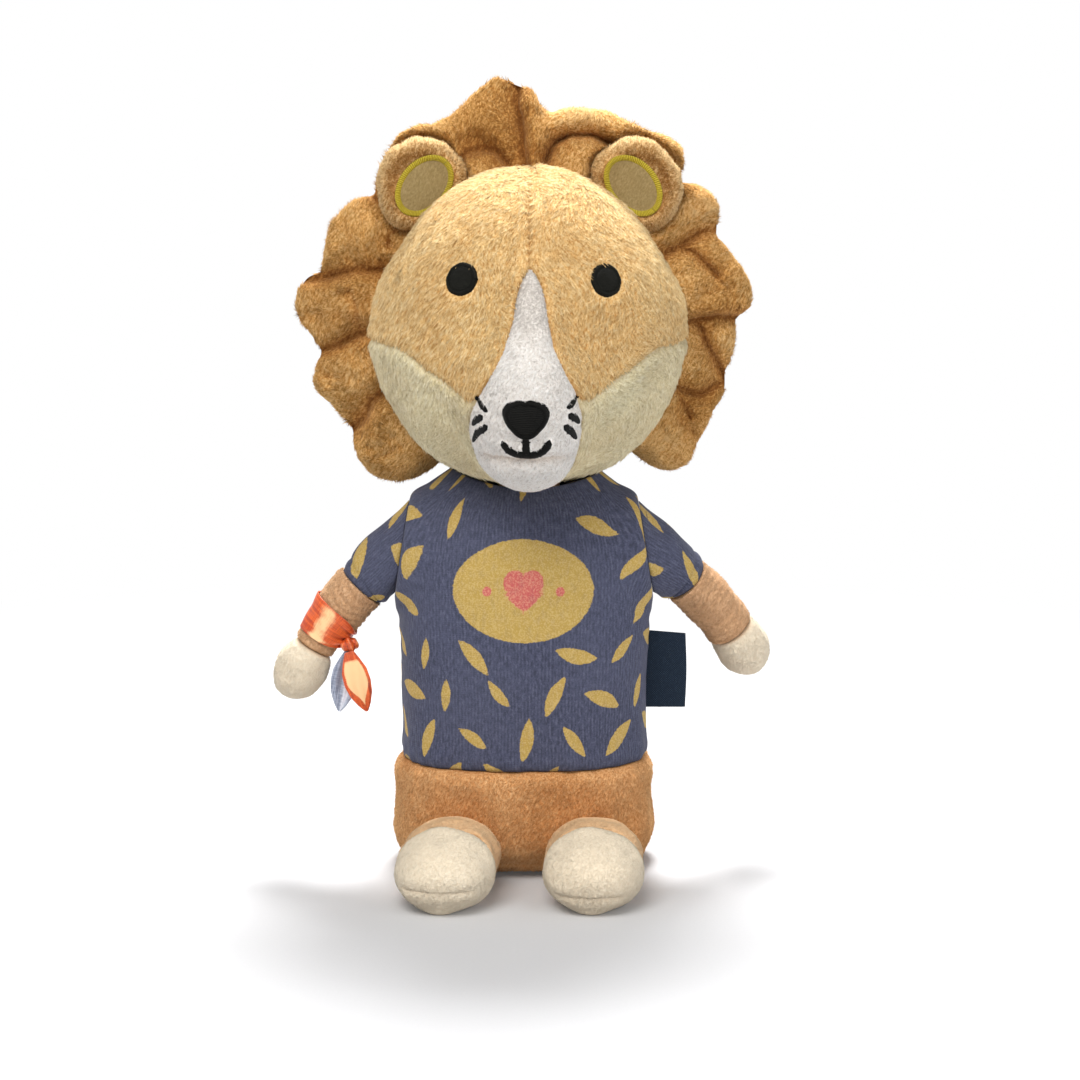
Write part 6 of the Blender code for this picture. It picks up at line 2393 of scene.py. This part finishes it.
@dataclass
class Ribbon:
    """Satin ribbon tied round the right wrist: band, knot and two hanging tails."""

    dresser: Dresser
    arm: Arm
    width: float = 0.0130
    start: float = 0.0114
    thickness: float = 0.0008
    knot: Triple = (0.0062, 0.0050, 0.0052)
    knot_share: float = 0.62
    tail_length: float = 0.0228
    tail_width: float = 0.0098
    bow: float = 0.0022
    tail_shares: Pairs = (
        (0.00, 0.34), (0.12, 0.62), (0.30, 0.95), (0.50, 1.00), (0.70, 0.82), (0.88, 0.46),
        (1.00, 0.10),
    )

    def band(self) -> Surface:
        """The band: an outer and an inner face round the wrist, pulled into folds at the knot.

        Returns:
            The closed band, with UV along and across it.
        """
        share = np.linspace(0, 1, 46)
        around = circle(200)
        gather = bell((np.abs(around - math.pi) - 0.45), 0.50)
        faces = []
        for lift in (0.0011, 0.00055):
            length = self.start + share * self.width
            out, down, turn = self.arm.course(length)
            radius = self.arm.arm_radius(length) + lift
            rings = self.arm.rings(out, down, turn, radius, radius, 200)
            away = unit(rings - rings.mean(axis=1, keepdims=True))
            fold = np.cos(2 * math.pi * (share[:, None] * 3.1 + 0.5 * np.sin(around)[None, :]))
            wave = (
                0.00042 * fold * gather[None, :] + 0.00016 * np.cos(share[:, None] * 9 + 3 * around[None, :])
            )
            pinch = (share[:, None] - self.knot_share) * bell(np.abs(around - math.pi), 0.80)[None, :]
            axis = unit(rings[-1].mean(axis=0) - rings[0].mean(axis=0))
            rings = rings + away * wave[..., None] - axis * (0.42 * self.width * pinch)[..., None]
            faces.append(rings)
        outer, inner = faces
        rows = np.concatenate([outer, inner[::-1]])
        # Painted shade in the fold valleys near the knot.
        fold = np.clip(-np.cos(2 * math.pi * (share[:, None] * 3.1 + 0.5 * np.sin(around)[None, :])), 0, 1)
        crease = fold**2 * gather[None, :]
        gleam = (
            0.80 * bell((around - 5.02)[None, :] + 0.12 * share[:, None], 0.38)
            * ease(-0.1, 0.12, share[:, None])
        )
        gleam = gleam + 0.35 * bell(share[:, None] - 0.93, 0.05) * (0.4 + 0.6 * np.sin(around)[None, :] ** 2)
        values = {
            "crease": np.concatenate([crease, crease[::-1]]),
            "gleam": np.concatenate([gleam, gleam[::-1] * 0])
        }
        band = hoop(self.arm.to_toy(rows), values)
        girth = 0.053
        u = np.arange(200) * girth / 200
        v = np.concatenate([share, share[::-1] + 1]) * self.width
        corner_u = np.stack([u, u + girth / 200, u + girth / 200, u], axis=-1)
        nxt = np.roll(v, -1)
        quad_v = np.broadcast_to(np.stack([v, v, nxt, nxt], axis=-1)[:, None], (len(v), 200, 4))
        quad_u = np.broadcast_to(corner_u[None], (len(v), 200, 4))
        band.quad_uv = np.stack([quad_v, quad_u], axis=-1).reshape(-1, 4, 2)
        band.tri_uv = np.zeros((0, 3, 2))
        return band

    def knot_place(self) -> Array:
        """Middle of the knot, on the inner side of the wrist, in the arm's frame.

        Returns:
            The point.
        """
        length = np.array([self.start + self.width * self.knot_share])
        out, down, turn = self.arm.course(length)
        side = self.arm.side.value
        inward = np.array([-side * math.sin(turn[0]), 0, -math.cos(turn[0])])
        towards = inward * math.cos(math.radians(22)) + np.array([0, -math.sin(math.radians(22)), 0])
        reach = self.arm.arm_radius(length)[0] + 0.0011 + self.knot[0] * 0.35
        return self.arm.middle(out, down)[0] + towards * reach

    def tie(self) -> Surface:
        """The knot: a small ball with the turns of the ribbon standing out on it.

        Returns:
            The closed surface.
        """
        ways, quads = ball_directions(26)
        turns = np.cos(6.5 * ways[:, 0] + 3.0 * ways[:, 2] + 1.5 * ways[:, 1])
        far = 1 + 0.09 * turns + 0.05 * np.cos(9 * ways[:, 1] + 4 * ways[:, 2])
        points = self.knot_place() + ways * far[:, None] * np.array(self.knot) / 2
        surface = Surface(self.arm.to_toy(points), quads)
        # Painted shade in the dips between the turns, painted highlight on the turns.
        surface.values = {"crease": np.clip(-turns, 0, 1) ** 2 * 0.9, "gleam": np.clip(turns, 0, 1) * 0.45}
        surface.quad_uv = (ways[:, [0, 2]] * 0.004)[quads]
        surface.tri_uv = np.zeros((0, 3, 2))
        return surface

    def tail(self, top: Array, turn: float, offset: float, cup: float, twist: float, cool: bool) -> Surface:
        """A leaf-shaped tail: cupped across, bowed forwards, with its edges rolled up.

        Args:
            top: where it leaves the knot.
            turn: how far it hangs to the side, in radians.
            offset: how much further back its tip lies.
            cup: how deep it is cupped, in metres.
            twist: turn from top to tip, in radians.
            cool: whether it shows the striped side.

        Returns:
            The closed sheet.
        """
        share = np.linspace(0, 1, 70)[:, None]
        across = np.linspace(-1, 1, 34)[None, :]
        half = along_table(self.tail_shares, 1, share[:, 0], 0.03)[:, None] * self.tail_width / 2
        down = np.array([math.sin(turn), 0, -math.cos(turn)])
        spin = twist * (share - 0.3)
        level = np.array([math.cos(turn), 0, math.sin(turn)])
        back = np.array([0.0, 1.0, 0.0])
        bow = self.bow * np.sin(math.pi * share)
        body = half / (self.tail_width / 2)
        dish = cup * body * (across**2 - 0.55) * -1.0
        ruck = 0.00014 * np.cos(across * 9 + 3 * share) * body
        over = half * across
        centre = top + down * (self.tail_length * share)[..., None] + back * (offset * share - bow)[..., None]
        turned = over * np.cos(spin) - dish * np.sin(spin)
        depth = over * np.sin(spin) + dish * np.cos(spin) + ruck
        middle = centre + level * turned[..., None] + back * depth[..., None]
        thin = 0.00028 * np.clip(1.02 - across**4, 0.15, 1)
        front = middle - back * thin[..., None]
        rear = middle + back * thin[..., None]
        # Orange tail: painted highlight inside it, painted shadow along its lower right edge and near the
        # knot. Blue tail: painted highlight, painted shade on one side, and its woven stripes.
        edge = 0.80 * ease(0.97, 0.50, share)
        inner = (
            ease(edge + 0.07, edge - 0.12, np.abs(across + 0.10 * (1 - 2 * share))) * ease(0.08, 0.20, share)
        )
        if cool:
            inner = 0.75 * bell(across - 0.25, 0.45) * ease(0.15, 0.4, share)
            darkened = (
                bell(across + 0.45, 0.22) * ease(0.75, 0.35, share) + 0.4 * bell(np.sin(across * 11), 0.5)
            )
        else:
            darkened = bell(across - 0.84, 0.08) * ease(0.35, 0.6, share) + ease(0.16, 0.02, share) * 0.5
        rim = bell(np.abs(across) - 0.95, 0.05) * 0.15
        values = {"gleam": inner + rim, "crease": np.clip(darkened, 0, 1)}
        sheet = closed_sheet(front, rear, values)
        flat = np.stack(np.broadcast_arrays(over + 0.005, share * self.tail_length), axis=-1).reshape(-1, 2)
        sheet.quad_uv = np.concatenate([flat, flat])[sheet.quads]
        return sheet

    def build(self) -> None:
        """Make and dress the ribbon."""
        paint, add = self.dresser.palette, self.dresser.add
        band = add("ribbon_band", self.band(), paint.orange, Body.ARM_RIGHT, "orange_satin", ["ribbon_band"])
        add("ribbon_knot", self.tie(), paint.orange, Body.ARM_RIGHT, "orange_satin", ["ribbon_knot"])
        pivot = np.array([-0.062991, -0.005087, 0.077561])
        orange = self.tail(pivot + [0, -0.0009, 0.0006], math.radians(16), 0.0, 0.0007, 0.25, False)
        warm = add(
            "ribbon_tail_orange", orange, paint.orange, Body.TAILS, "orange_satin", ["ribbon_tail_orange"]
        )
        blue = self.tail(pivot + [0, 0.0009, 0.0004], math.radians(-10), 0.0011, 0.0005, -0.15, True)
        cool = add("ribbon_tail_blue", blue, paint.blue, Body.TAILS, "blue_satin", ["ribbon_tail_blue"])
        for tail in (warm, cool):
            area = 0.725 * self.tail_width * self.tail_length


@dataclass
class Leg:
    """Leg with a round root, and a padded foot in two panels of cream velour."""

    dresser: Dresser
    side: Side
    turn: float
    half: Pair = (0.0169, 0.0131)
    length: float = 0.0185
    foot: float = 0.0225
    lean: float = 0.0050
    toe: float = 0.0056

    def to_toy(self, points: Array) -> Array:
        """Points out of the hip's frame, turned about Z, none under the floor.

        Args:
            points: points in the hip's frame.

        Returns:
            Points in the toy's frame.
        """
        spin = np.array(Matrix.Rotation(math.radians(self.turn), 3, "Z"))
        placed = points @ spin.T + self.side.mirrored(HIP)
        placed[..., 2] = np.maximum(placed[..., 2], 0.0)
        return placed

    def ring(self, forward: Array, wide: Array, tall: Array, lean: Array, drop: Array) -> Array:
        """Upright ovals across the leg, their lower sides leaning forwards.

        Args:
            forward: how far in front of the hip.
            wide: half width of each oval.
            tall: half height of each oval.
            lean: how far the lower side leans forwards.
            drop: how far each oval lies lower.

        Returns:
            Rings of points in the hip's frame.
        """
        around = circle(130)[None, :]
        x, z = wide[:, None] * np.cos(around), tall[:, None] * np.sin(around)
        y = -forward[:, None] + lean[:, None] * z / self.half[1]
        return np.stack([x, y, z + drop[:, None]], axis=-1)

    def shank(self) -> Surface:
        """The leg from the root's half ball to the seam of the foot.

        Returns:
            The closed surface.
        """
        dome = np.linspace(0.06, math.pi / 2, 22)[:-1]
        share = np.linspace(0, 1, 46)
        forward = np.concatenate([-self.half[1] * np.cos(dome), self.length * share])
        grow = np.concatenate([np.sin(dome), np.ones(len(share))])
        lean = np.concatenate([np.zeros(len(dome)), self.lean * share**2])
        rings = self.ring(forward, self.half[0] * grow, self.half[1] * grow, lean, 0 * grow)
        away = unit(rings - rings.mean(axis=1, keepdims=True))
        end = np.maximum(self.length - forward, 0)
        lift = -0.0009 * fade(end, 0.0009)[:, None] + 0.00045 * Ripple(0.014, 111 + self.side.value).at(rings)
        around = circle(130)[None, :]
        lift = lift + 0.0003 * np.cos(14 * around) * bell(end, 0.004)[:, None]
        lift = np.where(forward[:, None] < 0.002, np.minimum(lift, 0.0), lift) * grow[:, None]
        rings = self.to_toy(rings + away * lift[..., None])
        # Painted shade at the foot's seam.
        crease = fade(end, 0.0008)[:, None] + 0 * around
        start = self.to_toy(np.array([0.0, self.half[1], 0.0]))
        return loft(rings, {"crease": crease}, start)

    def sole(self) -> Surface:
        """The foot, which closes lower than the instep, with a seam round the toe.

        Returns:
            The closed surface.
        """
        share = np.concatenate([[0.0], np.sin(np.linspace(0.0, math.pi / 2, 72))[1:-1]])
        close = np.sqrt(1 - share**2.4)
        forward = self.length + 0.0003 + self.foot * share
        drop = -self.half[1] * 0.22 * share**1.5 * close
        rings = self.ring(
            forward, self.half[0] * 1.02 * close, self.half[1] * close, self.lean * (1 - share), drop
        )
        centre = rings.mean(axis=1, keepdims=True)
        away = unit(rings - centre)
        around = circle(130)[None, :]
        low = np.abs(rings[..., 2] + self.toe - 0.0030 * (1 - share[:, None]) + 4.0 * rings[..., 0] ** 2)
        front = ease(0.0140, 0.0100, np.abs(rings[..., 0] + 0.0012)) * ease(0.50, 0.80, share)[:, None]
        run = share[:, None] * self.foot
        lift = -0.0009 * fade(run, 0.0009) + 0.0005 * bell(run - 0.0035, 0.003)
        lift = lift - 0.0012 * fade(low, 0.0008) * front
        lift = lift + 0.0006 * bell(low - 0.0026, 0.0022) * front + 0.00035 * Ripple(0.012, 115).at(rings)
        pucker = 0.00020 * np.cos(around * 44) * fade(low, 0.0020) * front
        lift = (lift + pucker) * np.clip(close / 0.35, 0, 1)[:, None]
        rings = self.to_toy(rings + away * lift[..., None])
        # Painted shade at the seam to the leg and in the toe crease.
        crease = np.maximum(fade(run, 0.0008) + 0 * around, fade(low, 0.0008) * 0.42 * front)
        return loft(rings, {"crease": crease})

    def build(self) -> None:
        """Make and dress the leg and its foot."""
        paint, add, label = self.dresser.palette, self.dresser.add, self.side.label
        body = Body.LEG_RIGHT if self.side is Side.RIGHT else Body.LEG_LEFT
        shank, foot = self.shank(), self.sole()
        add(f"leg_{label}", shank, paint.band, body, "tan_velour", [f"leg_{label}"], 0.85)
        add(f"foot_{label}", foot, paint.cream, body, "cream_velour", [f"foot_{label}"], 0.85)

        def nap(places: Array, out: Array) -> Array:
            """Direction of the leg's nap: forwards and down, wandering."""
            wander = Ripple(0.014, 119).at(places)
            return np.stack([wander, -1 + 0 * wander, -0.4 + wander], axis=-1)

        def front(places: Array) -> Array:
            """1 in front of the seat and off the floor."""
            return ease(-0.038, -0.043, places[:, 1]) * ease(0.0008, 0.003, places[:, 2])

        fine = Pile(8000, length=0.0010, width=0.00028, stray=0.8, lean=20, seed=121)
        add(f"leg_pile_{label}", fine.grow(shank, nap, front), paint.band, body, "tan_velour")
        short = Pile(12000, length=0.0008, width=0.00025, stray=0.9, lean=16, seed=123)
        add(f"foot_pile_{label}", short.grow(foot, nap, front), paint.cream, body, "cream_velour")


@dataclass
class Label:
    """Folded woven label in the left side seam, bare on both sides."""

    dresser: Dresser
    pivot: Triple = (0.045796, 0.0, 0.0707)
    width: float = 0.0130
    height: float = 0.0282
    thickness: float = 0.0012
    tape: float = 0.0003

    def build(self) -> None:
        """Make and dress the label: one tape, folded at its outer end, both leaves in the seam."""
        rise = np.linspace(-self.height / 2, self.height / 2, 90)[:, None]
        fold, half = self.thickness / 2 - self.tape / 2, self.tape / 2
        straight = self.width - fold - half + 0.0014
        run = np.linspace(0, 2 * straight + math.pi * fold, 150)[None, :]
        turn = np.clip((run - straight) / fold, 0, math.pi)
        back = np.clip(run - straight - math.pi * fold, 0, None)
        x = np.minimum(run, straight) - back + fold * np.sin(turn) - self.tape / 2 - 0.0014
        y = -fold * np.cos(turn)
        part = np.clip(x / self.width, 0, 1)
        sway = 0.00018 * np.sin(rise * 230) * part + 0.0003 * part**2 * ease(0.007, 0.0141, rise)
        squeeze = 0.80 + 0.20 * np.sin(part * math.pi)
        bow = 0.0003 * part * np.cos(rise * 150)
        sag = 0.0011 * part * ease(-0.0140, 0.0100, rise)
        out_x, out_y = np.sin(turn), -np.cos(turn)
        faces = []
        for side in (1, -1):
            place = (x + side * half * out_x + bow, y * squeeze + side * half * out_y + sway, rise - sag)
            faces.append(np.stack(np.broadcast_arrays(*place), axis=-1) + np.array(self.pivot))
        label = closed_sheet(*faces)
        tape = self.dresser.add(
            "side_label", label, self.dresser.palette.tape, Body.LABEL, "navy_weave", ["side_label"]
        )
        2 * self.width


@dataclass(frozen=True)
class Studio:
    """Pale floor, soft light and the camera."""

    lens: float = 111.1
    tilt: float = math.radians(80)
    place: Triple = (0.0058, -1.1818, 0.3264)

    def floor(self) -> None:
        """A floor that runs up into a backdrop, white where the camera sees it unshadowed."""
        run = np.array([-3.0, -1.2, -0.5, 0.0, 0.6, 1.2, 1.8, 2.2, 2.5, 2.65, 2.7, 2.7])
        rise = np.array([0, 0, 0, 0, 0, 0, 0, 0.06, 0.25, 0.6, 1.2, 3.2])
        across = np.linspace(-4, 4, 9)
        x, y = np.meshgrid(across, run)
        z = np.broadcast_to(rise[:, None], x.shape) - 0.00002
        grid = np.arange(x.size).reshape(x.shape)
        quads = np.stack([grid[:-1, :-1], grid[:-1, 1:], grid[1:, 1:], grid[1:, :-1]], -1).reshape(-1, 4)
        mesh = bpy.data.meshes.new("floor")
        mesh.from_pydata(np.stack([x, y, z], -1).reshape(-1, 3).tolist(), [], quads.tolist())
        mesh.shade_smooth()
        nodes = Nodes("studio_floor")
        where = nodes.place()
        far = nodes.add("ShaderNodeVectorMath", {"operation": "LENGTH"}, {0: where}, "Value")
        seen = nodes.add("ShaderNodeLightPath", {}, {}, "Is Camera Ray")
        share = seen * (0.05 + 0.95 * far.step(0.18, 0.55))
        glow = nodes.add("ShaderNodeEmission", {}, {"Color": (1, 1, 1, 1), "Strength": 1.0})
        grain = nodes.noise(where, 900.0, 2.0, 0.5)
        base = nodes.mix(grain, (0.585, 0.587, 0.60), (0.615, 0.617, 0.63))
        nodes.finish({"Roughness": 0.9, "Specular IOR Level": 0.1}, {"Base Color": base})
        inputs = {0: share, 1: Value(nodes, nodes.shader.outputs[0]), 2: glow}
        mixed = nodes.add("ShaderNodeMixShader", {}, inputs)
        nodes.tree.links.new(mixed.socket, nodes.tree.nodes["Material Output"].inputs[0])
        mesh.materials.append(nodes.material)
        floor = bpy.data.objects.new("floor", mesh)
        bpy.context.scene.collection.objects.link(floor)

    def lamp(self, name: str, place: Triple, size: float, power: float, colour: Colour) -> None:
        """A square soft light that faces the toy.

        Args:
            name: name of it.
            place: where it stands.
            size: length of its sides.
            power: power in watts.
            colour: colour of its light.
        """
        light = bpy.data.lights.new(name, "AREA")
        light.shape, light.size, light.energy, light.color = "SQUARE", size, power, colour
        lamp = bpy.data.objects.new(name, light)
        way = np.array([0.0, 0.0, 0.14]) - np.array(place)
        lamp.rotation_euler = Vector(way).to_track_quat("-Z", "Y").to_euler()
        lamp.location = place
        bpy.context.scene.collection.objects.link(lamp)

    def sky(self) -> None:
        """An even pale surround that is plain white where the camera or a reflection sees it."""
        nodes = Nodes("studio_surround", world=True)
        rays = ("Camera", "Glossy", "Transmission")
        seen, shiny, clear = (nodes.add("ShaderNodeLightPath", {}, {}, f"Is {ray} Ray") for ray in rays)
        inputs = {"Value": seen.most(shiny).most(clear), "To Min": 0.30, "To Max": 1.0}
        strength = nodes.add("ShaderNodeMapRange", {}, inputs)
        bpy.context.scene.world = nodes.finish({"Color": (1.0, 1.0, 1.0)}, {"Strength": strength})

    def build(self) -> None:
        """Set the stage, the lights and the camera."""
        self.floor()
        self.sky()
        self.lamp("key", (-0.42, -1.05, 1.45), 1.1, 24.8, (1.0, 0.985, 0.96))
        self.lamp("top", (0.05, 0.60, 1.15), 0.40, 26.5, (1.0, 1.0, 1.0))
        self.lamp("fill", (1.10, -1.05, 0.80), 1.0, 8.5, (0.98, 0.99, 1.0))
        camera = bpy.data.objects.new("camera", bpy.data.cameras.new("camera"))
        camera.data.lens = self.lens
        camera.location = self.place
        camera.rotation_euler = (self.tilt, 0, 0)
        bpy.context.scene.collection.objects.link(camera)
        bpy.context.scene.camera = camera
        bpy.context.scene.view_settings.view_transform = "Standard"


def main() -> None:
    """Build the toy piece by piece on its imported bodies."""
    logging.basicConfig(level=logging.INFO, format="%(name)s: %(message)s")
    for name in ("Cube", "Light", "Camera"):
        if name in bpy.data.objects and "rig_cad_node" not in bpy.data.objects[name]:
            bpy.data.objects.remove(bpy.data.objects[name])
    Studio().build()
    dresser = Dresser(Palette.mixed())
    Head(dresser).build()
    Trunk(dresser).build()
    right = Arm(dresser, Side.RIGHT, 0.0, 0.0146)
    left = Arm(dresser, Side.LEFT, math.radians(24), 0.0174)
    for arm in (right, left):
        arm.build()
    Ribbon(dresser, right).build()
    Leg(dresser, Side.RIGHT, -6.0, toe=0.0034).build()
    Leg(dresser, Side.LEFT, -2.0).build()
    Label(dresser).build()


if __name__ == "__main__":
    main()
